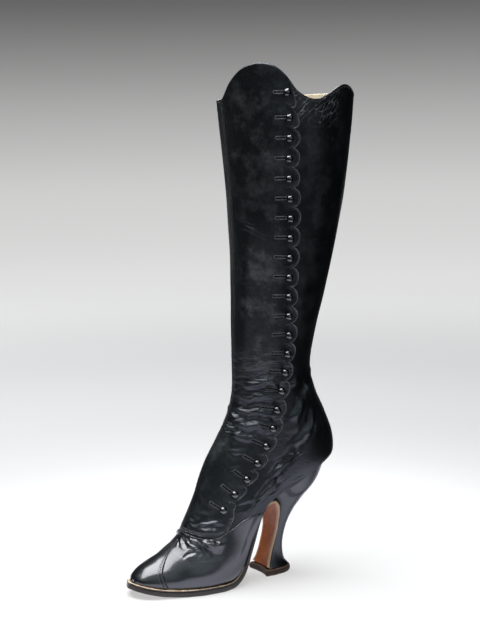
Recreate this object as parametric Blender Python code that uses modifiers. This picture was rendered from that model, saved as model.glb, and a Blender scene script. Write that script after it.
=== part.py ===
"""Knee-high button boot for the left foot, with a curved heel.

The toe points along +X, the outer side of the foot along +Y and the shaft up +Z.
The origin is on the floor under the middle of the heel's top lift.
Tables and sizes are in millimetres; the meshes are made in metres.
"""
import math

import bpy
import numpy as np

MM = 0.001
OBJECT_NAME = "high_heeled_button_boot"

# Thicknesses and clearances
WALL = 1.8
FIT_GAP = 0.3
OVERLAY_ROOT = 0.6
FORM_RISE = 30.0
NOSE_ROUND = 1.0
VAMP_THICKNESS = 1.0
CAP_THICKNESS = 1.5
FLY_THICKNESS = 1.5
WELT_THICKNESS = 1.3
INSOLE_THICKNESS = 2.0
INSOLE_RAISE = 0.5
INSOLE_EASE = 0.8
INSOLE_TOE = 135.0
INSOLE_HALF_WIDTH = 60.0
CUT_HALF_WIDTH = 90.0
CUT_BOTTOM = -40.0
CREASE_DEGREES = 40

# Each section of the upper is a rounded closed curve between a front and a back point.
# widest is where the section is broadest, from back (0) to front (1).
# full_front and full_back are the powers of the rounding: 2 is an ellipse, more is squarer.
SECTION_COLUMNS = ("front_x", "front_z", "back_x", "back_z", "lateral", "medial",
                   "widest", "full_front", "full_back", "sideways")
SECTIONS = {
    "collar":      (53.0, 472.0, -80.5, 472.0, 55.0, 55.0, 0.50, 2.00, 2.10, 7.0),
    "calf":        (49.0, 420.0, -77.5, 420.0, 53.0, 53.0, 0.50, 2.00, 2.10, 7.0),
    "low calf":    (43.5, 360.0, -70.0, 360.0, 47.0, 47.0, 0.50, 2.00, 2.10, 7.0),
    "shin":        (41.0, 284.0, -54.5, 284.0, 38.0, 38.0, 0.52, 2.00, 2.05, 6.5),
    "over ankle":  (42.0, 245.0, -44.5, 245.0, 33.0, 33.0, 0.52, 2.00, 2.05, 6.0),
    "ankle":       (41.5, 208.0, -39.0, 208.0, 29.0, 29.0, 0.50, 2.00, 2.05, 5.0),
    "bend":        (42.5, 180.0, -44.0, 181.0, 29.0, 29.0, 0.47, 2.00, 2.10, 4.0),
    "counter top": (49.0, 158.0, -56.0, 157.0, 30.0, 30.0, 0.42, 1.95, 2.15, 3.0),
    "counter":     (59.5, 139.0, -65.5, 134.0, 30.0, 29.0, 0.40, 1.90, 2.20, 2.0),
    "heel back":   (70.0, 121.0, -65.5, 112.0, 29.5, 28.0, 0.40, 1.90, 2.25, 1.5),
    "seat":        (77.5, 103.0, -48.0, 96.0, 29.0, 27.5, 0.42, 1.90, 2.40, 1.0),
    "seat front":  (83.5, 87.0, -20.0, 84.0, 28.0, 26.0, 0.45, 1.90, 2.50, 1.0),
    "waist":       (89.5, 73.0, 5.0, 70.0, 28.0, 25.5, 0.45, 1.90, 2.50, 1.0),
    "low waist":   (95.5, 60.0, 26.0, 42.0, 29.0, 26.5, 0.42, 1.95, 2.50, 0.5),
    "ball back":   (100.5, 47.0, 46.0, 7.0, 33.0, 31.0, 0.38, 1.95, 2.60, 0.0),
    "ball":        (112.0, 38.0, 76.0, 0.0, 33.0, 33.0, 0.34, 1.90, 2.70, -1.0),
    "cap line":    (123.0, 31.0, 100.0, 0.0, 27.5, 28.5, 0.32, 1.90, 2.70, -1.5),
    "toe":         (136.0, 25.0, 122.0, 2.0, 20.5, 21.5, 0.34, 2.10, 2.60, -2.0),
    "toe tip":     (144.6, 19.0, 138.6, 6.0, 13.0, 13.0, 0.42, 2.20, 2.40, -2.0),
    "nose":        (147.8, 15.5, 146.2, 9.0, 5.0, 5.0, 0.50, 2.10, 2.20, -2.0),
}
SECTION_TABLE = np.array(list(SECTIONS.values()))
LAST_SECTION = len(SECTIONS) - 1
SECTION_AT = {name: float(i) for i, name in enumerate(SECTIONS)}

# Height of the collar's edge by the angle round the shaft: 0 is the front, +90 the outer side
COLLAR_COLUMNS = ("angle", "height")
COLLAR = (
    (-180, 460.5), (-140, 458.5), (-100, 456.5), (-50, 455.0), (-8, 455.0), (2, 457.0),
    (12, 470.0), (24, 481.5), (34, 486.5), (43, 488.0), (56, 484.5), (66, 474.5),
    (73, 464.0), (80, 458.5), (90, 455.5), (98, 458.7), (106, 462.8), (114, 466.8),
    (122, 468.2), (131, 466.5), (141, 462.5), (151, 459.6), (165, 459.6), (180, 460.5),
)

# Angle between neighbouring columns of the upper's grid
COLUMN_STEP = 12.0

# X and Z of the feather line, where the upper meets the sole: heel seat, arch, tread, toe
FEATHER = (
    (-80.0, 122.6), (-40.0, 103.7), (0.0, 84.8), (10.0, 80.1), (20.0, 72.6), (25.5, 64.6), (29.8, 54.4),
    (33.8, 43.8), (39.4, 30.8), (45.6, 19.2), (53.0, 11.4), (62.0, 7.4), (72.0, 6.9), (88.0, 6.9),
    (104.0, 6.9), (124.0, 8.4), (138.0, 11.0), (153.0, 14.6), (165.0, 17.6),
)

FEATHER_STEPS = 50

# The outsole from the foot of the heel breast, over the arch, to the toe.
# x and z follow its upper side; hollow is how far its face is scooped across the width.
OUTSOLE_COLUMNS = ("x", "z", "thickness", "lateral", "medial", "hollow")
OUTSOLE = {
    "breast foot":  (10.0, 7.4, 2.5, 14.6, 14.6, 2.0),
    "breast low":   (7.9, 13.0, 2.5, 12.3, 12.3, 2.0),
    "breast waist": (4.7, 24.0, 2.5, 11.2, 11.0, 1.8),
    "breast":       (1.4, 36.0, 2.5, 11.8, 11.2, 1.5),
    "breast high":  (-0.6, 48.0, 2.5, 13.4, 12.4, 1.2),
    "breast top":   (-0.8, 58.0, 2.5, 15.8, 14.6, 0.8),
    "arch back":    (0.2, 66.5, 2.5, 18.2, 17.0, 0.4),
    "arch rise":    (3.2, 72.8, 2.5, 20.2, 19.0, 0.0),
    "arch top":     (8.4, 76.2, 2.6, 21.6, 20.4, 0.0),
    "arch front":   (14.2, 75.6, 2.8, 22.4, 21.0, 0.0),
    "waist high":   (19.8, 72.0, 3.0, 22.8, 21.2, 0.0),
    "waist":        (25.2, 64.1, 3.0, 23.2, 21.4, 0.0),
    "waist low":    (29.4, 54.0, 3.0, 23.6, 21.6, 0.0),
    "shank":        (33.4, 43.4, 3.2, 24.2, 22.2, 0.0),
    "shank low":    (38.9, 30.4, 3.4, 25.4, 23.2, 0.0),
    "spring":       (44.6, 18.0, 3.8, 27.0, 24.6, 0.0),
    "ball back":    (52.0, 9.6, 4.4, 29.6, 26.8, 0.0),
    "tread back":   (61.0, 5.4, 4.9, 31.6, 29.0, 0.0),
    "tread":        (72.0, 5.0, 5.0, 33.6, 32.0, 0.0),
    "ball":         (88.0, 5.0, 5.0, 33.2, 34.4, 0.0),
    "tread front":  (104.0, 5.0, 5.0, 29.6, 33.0, 0.0),
    "toe back":     (124.0, 6.4, 4.9, 23.4, 27.4, 0.0),
    "toe":          (138.0, 9.0, 4.6, 18.2, 22.2, 0.0),
    "toe front":    (146.0, 10.9, 4.4, 12.4, 16.4, 0.0),
    "toe round":    (149.8, 11.8, 4.3, 7.2, 11.2, 0.0),
    "toe tip":      (151.6, 12.2, 4.2, 1.8, 5.8, 0.0),
}
WELT_FROM = "spring"
WELT_REACH = 0.5
TANGENT_STEP = 0.2
SOLE_EDGES = ((0.25, -0.3), (0.65, -0.3))
WELT_EDGES = ((0.5, -0.2),)
EDGE_ROUND = 0.5

# The heel between its foot on the lift and the heel seat; each section runs from breast to back.
# swell widens it behind the breast, and round is the power of its rounding.
HEEL_COLUMNS = ("front_x", "front_z", "back_x", "back_z", "half_width", "swell", "round", "hollow")
HEEL = {
    "foot":      (10.0, 6.5, -17.5, 6.5, 14.6, 0.6, 2.5, 2.0),
    "flare":     (7.6, 13.0, -12.8, 13.0, 12.2, 0.3, 2.4, 2.0),
    "low waist": (4.4, 24.0, -11.2, 24.5, 11.0, 0.2, 2.3, 1.8),
    "waist":     (1.1, 36.0, -12.8, 37.5, 11.4, 0.3, 2.2, 1.5),
    "high waist": (-0.9, 48.0, -17.4, 51.0, 12.8, 0.6, 2.2, 1.2),
    "cup low":   (-1.1, 58.0, -25.5, 63.5, 15.0, 1.2, 2.2, 0.8),
    "cup":       (-0.1, 66.7, -37.0, 76.0, 17.4, 2.4, 2.3, 0.4),
    "cup high":  (2.9, 73.1, -51.0, 90.0, 19.4, 3.8, 2.4, 0.0),
    "seat":      (9.4, 79.8, -61.0, 113.1, 21.4, 5.0, 2.5, 0.0),
}

HEEL_ROWS = 15

# The top lift's level outlines from the floor up: height, front, back and half width
LIFT = ((0.0, 14.0, -18.4, 15.6), (1.6, 14.8, -19.2, 16.4), (5.0, 14.4, -18.8, 16.0), (6.2, 13.6, -17.8, 15.2))
LIFT_SWELL = 0.8
LIFT_ROUND = 2.5
LIFT_HOLLOW = 2.2

# The line of buttons down the outer front: section number and angle
BUTTON_LINE_COLUMNS = ("section", "angle")
BUTTON_LINE = (
    (0.0, 63.0), (0.67, 65.3), (1.60, 65.3), (2.20, 68.6), (3.20, 76.5), (4.30, 84.5), (5.20, 81.5),
    (6.50, 67.0), (8.20, 59.0), (10.0, 56.0), (11.81, 55.0), (12.6, 54.0),
)
BUTTON_COUNT = 23
FIRST_BUTTON = 0.27
SECOND_BUTTON = 0.66
LAST_BUTTON = 11.76
BUTTON_RADIUS = 3.75
BUTTON_CENTRE = 4.3
BUTTON_TURNS = (0, 45, 90, 140)
BUTTON_SIDES = 8
SHANK_RADIUS = 1.4

# The fly: its front edge, its scallops beyond the button line and its foot over the throat
FLY_FRONT_ANGLE = -2.0
FLY_COLUMNS = 6
SCALLOP_NOTCH = 3.8
SCALLOP_DEPTH = 7.0
SCALLOP_ROWS = (0.0, 0.16, 0.5, 0.84)
LAST_LOBE_GROWS = 0.6
FLY_FOOT_ROWS = (0.0, 0.3, 0.6, 0.85, 1.0)
FLY_FOOT_SECTION = 13.35
FLY_FOOT_RISE = 0.70
FLY_RISE_ANGLE = 80.0
FLY_CORNER_ANGLE = 75.0

# The vamp's top line by angle, and the toe cap's swept back line
VAMP_LINE_COLUMNS = ("angle", "section")
VAMP_LINE = ((0, 13.40), (40, 13.36), (65, 13.10), (80, 12.68), (94, 12.25), (110, 12.16), (150, 12.10))
CAP_PEAK = 14.0
CAP_SWEEP = 2.85
CAP_SPREAD = 22.0
CAP_SEAM = 0.045
VAMP_LEAST = 0.3
VAMP_ROWS = 10
CAP_ROWS = 9
OVERLAY_LOW_ANGLE = 148.0

COLOURS = {
    "upper": (0.018, 0.019, 0.022), "vamp": (0.016, 0.017, 0.021), "toe_cap": (0.014, 0.015, 0.019),
    "button_fly": (0.018, 0.019, 0.022), "button": (0.008, 0.008, 0.009), "insole": (0.48, 0.36, 0.24),
    "welt": (0.52, 0.36, 0.22), "outsole": (0.16, 0.075, 0.035), "heel": (0.018, 0.019, 0.022),
    "top_lift": (0.07, 0.045, 0.032),
}


def column(columns, table, name):
    """One named column of a table as an array."""
    return np.array(table, float)[:, columns.index(name)]


def flow(knots, values, at, level=False):
    """Smooth cubic through a table's rows; level keeps equal neighbours flat and never overshoots."""
    knots = np.asarray(knots, float)
    values = np.asarray(values, float)
    at = np.clip(np.asarray(at, float), knots[0], knots[-1])
    steps = np.diff(knots)
    rises = np.diff(values) / steps
    slopes = np.concatenate([rises[:1], 0.5 * (rises[:-1] + rises[1:]), rises[-1:]])
    if level:
        product = rises[:-1] * rises[1:]
        steady = np.where(product > 0, 2 * product / np.where(product > 0, rises[:-1] + rises[1:], 1), 0)
        slopes[1:-1] = steady
    i = np.clip(np.searchsorted(knots, at, side="right") - 1, 0, len(steps) - 1)
    t = (at - knots[i]) / steps[i]
    start = (1 + 2 * t) * (1 - t) ** 2 * values[i] + t * (1 - t) ** 2 * steps[i] * slopes[i]
    end = t * t * (3 - 2 * t) * values[i + 1] + t * t * (t - 1) * steps[i] * slopes[i + 1]
    return start + end


def rounded(angle, power):
    """Cosine and sine of an angle with their corners filled by a power, 2 being a true circle."""
    c, s = np.cos(angle), np.sin(angle)
    return np.sign(c) * np.abs(c) ** (2 / power), np.sign(s) * np.abs(s) ** (2 / power)


def upper_point(section, angle):
    """Point on the upper's outer skin at a section number and an angle in degrees from the front."""
    section, angle = np.broadcast_arrays(np.asarray(section, float), np.asarray(angle, float))
    row = {}
    for i, name in enumerate(SECTION_COLUMNS):
        row[name] = flow(np.arange(LAST_SECTION + 1), SECTION_TABLE[:, i], section)
    turn = np.radians(angle)
    power = np.where(np.cos(turn) >= 0, row["full_front"], row["full_back"])
    along, across = rounded(turn, power)
    reach = np.where(along >= 0, row["widest"] + (1 - row["widest"]) * along, row["widest"] * (1 + along))
    width = np.where(across >= 0, row["lateral"], row["medial"])
    edge = flow(column(COLLAR_COLUMNS, COLLAR, "angle"), column(COLLAR_COLUMNS, COLLAR, "height"),
                (angle + 180) % 360 - 180)
    rise = (edge - SECTION_TABLE[0, 1]) * np.clip(1 - section, 0, 1)
    x = row["back_x"] + (row["front_x"] - row["back_x"]) * reach
    z = row["back_z"] + (row["front_z"] - row["back_z"]) * reach + rise
    return np.stack([x, row["sideways"] + width * across, z], axis=-1)


def upper_normal(section, angle):
    """Outward unit normal of the upper's skin, from small steps along it and round it."""
    down = upper_point(np.clip(section + 0.02, 0, LAST_SECTION), angle)
    down = down - upper_point(np.clip(section - 0.02, 0, LAST_SECTION), angle)
    around = upper_point(section, angle + 1.0) - upper_point(section, angle - 1.0)
    normal = np.cross(down, around)
    return normal / np.linalg.norm(normal, axis=-1, keepdims=True)


def upper_skin(section, angle, out):
    """The upper's skin moved out along its normal."""
    return upper_point(section, angle) + out * upper_normal(section, angle)


def feather_path(count, out=0.0):
    """Points along the feather line seen from the side, moved up off the sole by out."""
    table = np.array(FEATHER)
    run = np.concatenate([[0], np.cumsum(np.linalg.norm(np.diff(table, axis=0), axis=1))])
    at = np.linspace(0, run[-1], count)
    x = flow(run, table[:, 0], at, level=True)
    z = flow(run, table[:, 1], at, level=True)
    slope = np.stack([np.gradient(x), np.gradient(z)], axis=1)
    slope /= np.linalg.norm(slope, axis=1, keepdims=True)
    return np.stack([x - out * slope[:, 1], z + out * slope[:, 0]], axis=1)


def grid_faces(rows, columns, closed):
    """Quads of a grid whose rows run along the form and whose columns run round it."""
    faces = []
    wraps = columns if closed else columns - 1
    for r in range(rows - 1):
        for c in range(wraps):
            right = (c + 1) % columns
            faces.append((r * columns + c, (r + 1) * columns + c, (r + 1) * columns + right, r * columns + right))
    return faces


def finish(name, points, faces, look, collection):
    """Object from points in millimetres, smooth shaded, with the look's own material."""
    mesh = bpy.data.meshes.new(name)
    mesh.from_pydata([tuple(p) for p in np.asarray(points) * MM], [], faces)
    mesh.validate()
    mesh.shade_smooth()
    mesh.set_sharp_from_angle(angle=math.radians(CREASE_DEGREES))
    obj = bpy.data.objects.new(name, mesh)
    collection.objects.link(obj)
    if look:
        mesh.materials.append(make_material(look))
    else:
        obj.hide_render = True
        obj.display_type = "WIRE"
    return obj


def make_material(look):
    """The look's Principled material, made once."""
    material = bpy.data.materials.get(look)
    if material:
        return material
    material = bpy.data.materials.new(look)
    material.use_nodes = True
    shader = material.node_tree.nodes["Principled BSDF"]
    shader.inputs["Base Color"].default_value = (*COLOURS[look], 1.0)
    shader.inputs["Roughness"].default_value = 0.3
    shader.inputs["Metallic"].default_value = 0.0
    return material


def cut(obj, cutter, operation="DIFFERENCE"):
    """Boolean of an object with a cutter."""
    boolean = obj.modifiers.new(operation.lower(), "BOOLEAN")
    boolean.operation = operation
    boolean.solver = "EXACT"
    boolean.use_self = True
    boolean.object = cutter


def thicken(obj, thickness, outward):
    """Give an open surface a wall on its outer or inner side."""
    solidify = obj.modifiers.new("wall", "SOLIDIFY")
    solidify.thickness = thickness * MM
    solidify.offset = 1.0 if outward else -1.0
    solidify.use_even_offset = True


def side_prism(name, outline, half_width, look, collection):
    """Solid with a side outline in X and Z, listed anticlockwise, running straight across."""
    outline = np.asarray(outline)
    count = len(outline)
    points = []
    for y in (-half_width, half_width):
        points.extend((x, y, z) for x, z in outline)
    faces = [tuple(range(count)), tuple(reversed(range(count, 2 * count)))]
    for i in range(count):
        j = (i + 1) % count
        faces.append((i, i + count, j + count, j))
    return finish(name, points, faces, look, collection)


def loft(name, rings, look, collection):
    """Closed solid through rings of equal point counts, with flat ends."""
    rings = np.asarray(rings)
    rows, columns = rings.shape[:2]
    faces = grid_faces(rows, columns, True)
    faces.append(tuple(range(columns)))
    faces.append(tuple(reversed(range((rows - 1) * columns, rows * columns))))
    return finish(name, rings.reshape(-1, 3), faces, look, collection)


def section_rows():
    """Section numbers of the upper's rows, closer where the throat bends."""
    leg = np.arange(0.0, SECTION_AT["waist"], 0.5)
    throat = np.arange(SECTION_AT["waist"], SECTION_AT["cap line"], 1 / 3)
    toe = np.linspace(SECTION_AT["cap line"], LAST_SECTION, 6)
    return np.concatenate([leg, throat, toe])


def upper_sock(name, out, look, collection, capped=False):
    """The upper's form as a sock with a closed toe, moved out along its normals.

    A capped sock is a closed form that rises past the collar.
    """
    rows = section_rows()
    columns = round(360 / COLUMN_STEP)
    angles = np.arange(columns) * COLUMN_STEP
    grid = upper_skin(rows[:, None], angles[None, :], out)
    if capped:
        grid = np.concatenate([grid[:1] + (0.0, 0.0, FORM_RISE), grid])
    points = np.concatenate([grid.reshape(-1, 3), [toe_point(out)]])
    faces = grid_faces(len(grid), columns, True)
    base = (len(grid) - 1) * columns
    faces.extend((base + c, len(points) - 1, base + (c + 1) % columns) for c in range(columns))
    if capped:
        faces.append(tuple(range(columns)))
    return finish(name, points, faces, look, collection)


def toe_point(out):
    """The foremost point of the upper, moved out."""
    nose = upper_skin(np.full(8, float(LAST_SECTION)), np.arange(8) * 45.0, out)
    return nose.mean(axis=0) + (NOSE_ROUND + out, 0.0, 0.0)


def overlay(name, section, angle, thickness, look, collection, cutters, over_toe=False):
    """Panel on the upper: a thick patch of its skin, less the cutters and the upper's own form."""
    section, angle = np.broadcast_arrays(section, angle)
    points = upper_skin(section, angle, -OVERLAY_ROOT).reshape(-1, 3)
    faces = grid_faces(*section.shape, False)
    if over_toe:
        points = np.concatenate([points, [toe_point(-OVERLAY_ROOT)]])
        last = (section.shape[0] - 1) * section.shape[1]
        faces.extend((last + c, len(points) - 1, last + c + 1) for c in range(section.shape[1] - 1))
    obj = finish(name, points, faces, look, collection)
    thicken(obj, OVERLAY_ROOT + FIT_GAP + thickness, outward=True)
    for cutter in cutters:
        cut(obj, cutter)


def button_angle(section):
    """Angle of the button line at a section."""
    return flow(column(BUTTON_LINE_COLUMNS, BUTTON_LINE, "section"),
                column(BUTTON_LINE_COLUMNS, BUTTON_LINE, "angle"), section)


def button_sections():
    """Section numbers of the buttons: evenly spaced along their line from the second to the last."""
    fine = np.linspace(SECOND_BUTTON, LAST_BUTTON, 600)
    line = upper_point(fine, button_angle(fine))
    run = np.concatenate([[0], np.cumsum(np.linalg.norm(np.diff(line, axis=0), axis=1))])
    even = np.interp(np.linspace(0, run[-1], BUTTON_COUNT - 1), run, fine)
    return np.concatenate([[FIRST_BUTTON], even])


def fly_foot(angle):
    """Section of the fly's lower edge: level at the front, rising towards its outer corner."""
    return FLY_FOOT_SECTION - FLY_FOOT_RISE * (np.abs(angle) / FLY_RISE_ANGLE) ** 4


def fly_edge(section, buttons):
    """Angle of the scalloped edge: a round lobe beyond each button, notches between, the last runs on."""
    middles = 0.5 * (buttons[:-1] + buttons[1:])
    bounds = np.concatenate([[0.0], middles, [2 * buttons[-1] - middles[-1]]])
    i = np.clip(np.searchsorted(bounds, section, side="right") - 1, 0, len(buttons) - 1)
    phase = np.clip((section - bounds[i]) / (bounds[i + 1] - bounds[i]), 0, 1)
    runs_on = (i == len(buttons) - 1) & (phase > 0.5)
    lobe = np.sqrt(np.clip(1 - (2 * phase - 1) ** 2, 0, 1))
    lobe = np.where(runs_on, 1 + LAST_LOBE_GROWS * (2 * phase - 1), lobe)
    reach = SCALLOP_NOTCH + SCALLOP_DEPTH * lobe
    angle = button_angle(section)
    step = np.linalg.norm(upper_point(section, angle + 1) - upper_point(section, angle - 1), axis=-1) / 2
    return angle + reach / step, bounds


def fly_grid(buttons):
    """Sections and angles of the fly's grid, from collar to foot and from front seam to scallops."""
    _, bounds = fly_edge(buttons, buttons)
    rows = (bounds[:-1, None] + np.array(SCALLOP_ROWS) * np.diff(bounds)[:, None]).ravel()
    edge, _ = fly_edge(rows, buttons)
    across = np.linspace(0, 1, FLY_COLUMNS)
    angle = FLY_FRONT_ANGLE + (edge[:, None] - FLY_FRONT_ANGLE) * across
    section = np.broadcast_to(rows[:, None], angle.shape)
    foot_start = bounds[-1]
    corner, _ = fly_edge(np.array([foot_start]), buttons)
    parts_section, parts_angle = [section], [angle]
    for part in FLY_FOOT_ROWS:
        side = corner[0] + (FLY_CORNER_ANGLE - corner[0]) * math.sin(part * math.pi / 2)
        foot_angle = FLY_FRONT_ANGLE + (side - FLY_FRONT_ANGLE) * across
        parts_angle.append(foot_angle[None])
        parts_section.append((foot_start + (fly_foot(foot_angle) - foot_start) * part)[None])
    return np.concatenate(parts_section), np.concatenate(parts_angle)


def vamp_top(angle):
    """Section of the vamp's top line."""
    return flow(column(VAMP_LINE_COLUMNS, VAMP_LINE, "angle"),
                column(VAMP_LINE_COLUMNS, VAMP_LINE, "section"), np.abs(angle))


def cap_line(angle):
    """Section of the toe cap's back edge: a peak on the ridge, swept forward down both sides."""
    return CAP_PEAK + CAP_SWEEP * (1 - np.exp(-np.abs(angle) / CAP_SPREAD))


def overlay_angles():
    """Angles of the vamp's and cap's columns: the upper's own columns, and one more beside the ridge."""
    half = np.arange(COLUMN_STEP, OVERLAY_LOW_ANGLE, COLUMN_STEP)
    half = np.concatenate([[0.0, COLUMN_STEP / 2], half])
    return np.concatenate([-half[:0:-1], half])


def outsole_rows(names=None, per_row=2):
    """Smooth stations along the outsole: place, tangent, thickness, edges and hollow."""
    keys = list(OUTSOLE)
    table = np.array(list(OUTSOLE.values()))
    run = np.concatenate([[0], np.cumsum(np.linalg.norm(np.diff(table[:, :2], axis=0), axis=1))])
    start = keys.index(names) if names else 0
    at = np.concatenate([np.linspace(run[i], run[i + 1], per_row, endpoint=False)
                         for i in range(start, len(run) - 1)] + [run[-1:]])
    row = {}
    for i, name in enumerate(OUTSOLE_COLUMNS):
        row[name] = flow(run, table[:, i], at, level=True)
    ahead = [flow(run, table[:, i], at + TANGENT_STEP, level=True) for i in (0, 1)]
    behind = [flow(run, table[:, i], at - TANGENT_STEP, level=True) for i in (0, 1)]
    tangent = np.stack(ahead, 1) - np.stack(behind, 1)
    row["tangent"] = tangent / np.linalg.norm(tangent, axis=1, keepdims=True)
    return row


def strip(row, lift, thickness, grow, edges):
    """Rings of a strip lying along the outsole's line; edges are (share of thickness, inset) pairs."""
    normal = np.stack([-row["tangent"][:, 1], row["tangent"][:, 0]], axis=1)
    across = (1.0, 0.0, -1.0)
    ring = [(0.0, 0.0, s) for s in across]
    ring += [(share, inset, -1.0) for share, inset in edges]
    ring += [(1.0, edges[-1][1] + EDGE_ROUND, s) for s in across[::-1]]
    ring += [(share, inset, 1.0) for share, inset in edges[::-1]]
    rings = []
    for share, inset, side in ring:
        middle = 0.5 * (row["lateral"] - row["medial"])
        half = 0.5 * (row["lateral"] + row["medial"]) + grow - inset
        down = lift - share * thickness + row["hollow"] * (1 - side ** 2)
        x = row["x"] + down * normal[:, 0]
        z = row["z"] + down * normal[:, 1]
        rings.append(np.stack([x, middle + half * side, z], axis=1))
    return np.stack(rings[::-1], axis=1)


def breast_ring(front, back, half_width, swell, power, hollow, count=19):
    """Closed outline from the breast's outer corner round the back to its inner corner, then across."""
    front, back = np.asarray(front), np.asarray(back)
    along = (back - front) / np.linalg.norm(back - front)
    depth = np.linalg.norm(back - front)
    turn = np.linspace(0, math.pi, count)
    across, reach = rounded(turn, power)
    wide = half_width + swell * np.sin(math.pi * np.clip(reach, 0, 1)) ** 0.8
    side = list(across * wide)
    run = list(reach * depth)
    for share in (-0.5, 0.0, 0.5):
        side.append(share * half_width)
        run.append(hollow * (1 - share ** 2))
    run = np.array(run)
    return np.stack([front[0] + along[0] * run, np.array(side), front[1] + along[1] * run], axis=1)


def build_upper(parts, floor_cutter):
    """The hollow upper: a sock with an inner wall, cut open underneath along the feather line."""
    upper = upper_sock("upper", 0.0, "upper", parts)
    thicken(upper, WALL, outward=False)
    cut(upper, floor_cutter)


def build_vamp_and_cap(parts, floor_cutter, form):
    """The vamp between its top line and the cap, and the toe cap, both lasted down to the sole."""
    angles = overlay_angles()
    top, front = vamp_top(angles), cap_line(angles)
    share = np.linspace(0, 1, VAMP_ROWS)[:, None]
    vamp_section = top + (np.maximum(front - CAP_SEAM, top + VAMP_LEAST) - top) * share
    overlay("vamp", vamp_section, angles, VAMP_THICKNESS, "vamp", parts, (floor_cutter, form))
    cap_section = front + (LAST_SECTION - front) * np.linspace(0, 1, CAP_ROWS)[:, None]
    overlay("toe_cap", cap_section, angles, CAP_THICKNESS, "toe_cap", parts, (floor_cutter, form), over_toe=True)


def build_fly_and_buttons(parts, form):
    """The scalloped fly and its row of ball buttons."""
    buttons = button_sections()
    section, angle = fly_grid(buttons)
    overlay("button_fly", section, angle, FLY_THICKNESS, "button_fly", parts, (form,))
    turns = np.radians(BUTTON_TURNS)
    profile = [(BUTTON_RADIUS * math.sin(t), 0.0, BUTTON_CENTRE + BUTTON_RADIUS * math.cos(t)) for t in turns]
    profile += [(SHANK_RADIUS, 0.0, 0.0), (0.0, 0.0, 0.0)]
    mesh = bpy.data.meshes.new("button_profile")
    edges = [(i, i + 1) for i in range(len(profile) - 1)]
    mesh.from_pydata([tuple(c * MM for c in p) for p in profile], edges, [])
    mesh.materials.append(make_material("button"))
    seat = FIT_GAP + FLY_THICKNESS + FIT_GAP
    places = upper_skin(buttons, button_angle(buttons), seat)
    normals = upper_normal(buttons, button_angle(buttons))
    for i, (place, normal) in enumerate(zip(places, normals), start=1):
        button = bpy.data.objects.new(f"button_{i:02d}", mesh)
        screw = button.modifiers.new("turned", "SCREW")
        screw.steps = BUTTON_SIDES
        screw.render_steps = BUTTON_SIDES
        screw.use_merge_vertices = True
        screw.merge_threshold = 0.00001
        screw.use_smooth_shade = True
        button.location = tuple(place * MM)
        side = np.cross((0.0, 0.0, 1.0), normal)
        lean = math.acos(float(np.clip(normal[2], -1, 1)))
        button.rotation_mode = "AXIS_ANGLE"
        button.rotation_axis_angle = (lean, *side)
        parts.objects.link(button)


def build_insole(parts, cutters):
    """The insole: a sheet above the feather line, cut to the inside of the upper."""
    low = feather_path(FEATHER_STEPS, INSOLE_RAISE)
    high = feather_path(FEATHER_STEPS, INSOLE_RAISE + INSOLE_THICKNESS)
    under_foot = low[:, 0] < INSOLE_TOE
    low, high = low[under_foot], high[under_foot]
    slab = side_prism("insole", np.concatenate([low, high[::-1]]), INSOLE_HALF_WIDTH, "insole", parts)
    inside = upper_sock("inside_form", -(WALL + INSOLE_EASE), None, cutters, capped=True)
    cut(slab, inside, "INTERSECT")


def build_sole(parts):
    """The outsole over arch and breast, and the welt on its forepart."""
    row = outsole_rows()
    loft("outsole", strip(row, 0.0, row["thickness"], 0.0, SOLE_EDGES), "outsole", parts)
    front = outsole_rows(WELT_FROM)
    lift = FIT_GAP + WELT_THICKNESS
    loft("welt", strip(front, lift, WELT_THICKNESS, WELT_REACH, WELT_EDGES), "welt", parts)


def build_heel(parts):
    """The waisted heel block and the top lift under it."""
    table = np.array(list(HEEL.values()))
    at = np.linspace(0, len(table) - 1, HEEL_ROWS)
    row = {name: flow(np.arange(len(table)), table[:, i], at) for i, name in enumerate(HEEL_COLUMNS)}
    rings = [breast_ring((row["front_x"][i], row["front_z"][i]), (row["back_x"][i], row["back_z"][i]),
                         row["half_width"][i], row["swell"][i], row["round"][i], row["hollow"][i])
             for i in range(len(at))]
    loft("heel", rings[::-1], "heel", parts)
    lift = [breast_ring((front, z), (back, z), half, LIFT_SWELL, LIFT_ROUND, LIFT_HOLLOW)
            for z, front, back, half in LIFT]
    loft("top_lift", lift[::-1], "top_lift", parts)


def main():
    for obj in list(bpy.data.objects):
        bpy.data.objects.remove(obj)
    parts = bpy.data.collections.new(OBJECT_NAME)
    cutters = bpy.data.collections.new("cutters")
    for collection in (parts, cutters):
        bpy.context.scene.collection.children.link(collection)
    feather = feather_path(FEATHER_STEPS, FIT_GAP)
    below = np.concatenate([[(feather[0, 0], CUT_BOTTOM), (feather[-1, 0], CUT_BOTTOM)], feather[::-1]])
    floor_cutter = side_prism("below_feather", below, CUT_HALF_WIDTH, None, cutters)
    build_upper(parts, floor_cutter)
    form = upper_sock("outside_form", FIT_GAP, None, cutters, capped=True)
    build_vamp_and_cap(parts, floor_cutter, form)
    build_fly_and_buttons(parts, form)
    build_insole(parts, cutters)
    build_sole(parts)
    build_heel(parts)


main()
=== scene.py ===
"""Looks of a knee-high button boot for the left foot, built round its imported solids.

The toe points along +X, the outer side of the foot along +Y and the shaft up +Z.
Tables and shapes are in millimetres; meshes are made in metres.
"""
import functools
import math

import bmesh
import bpy
import numpy as np
from mathutils import Matrix


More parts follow.
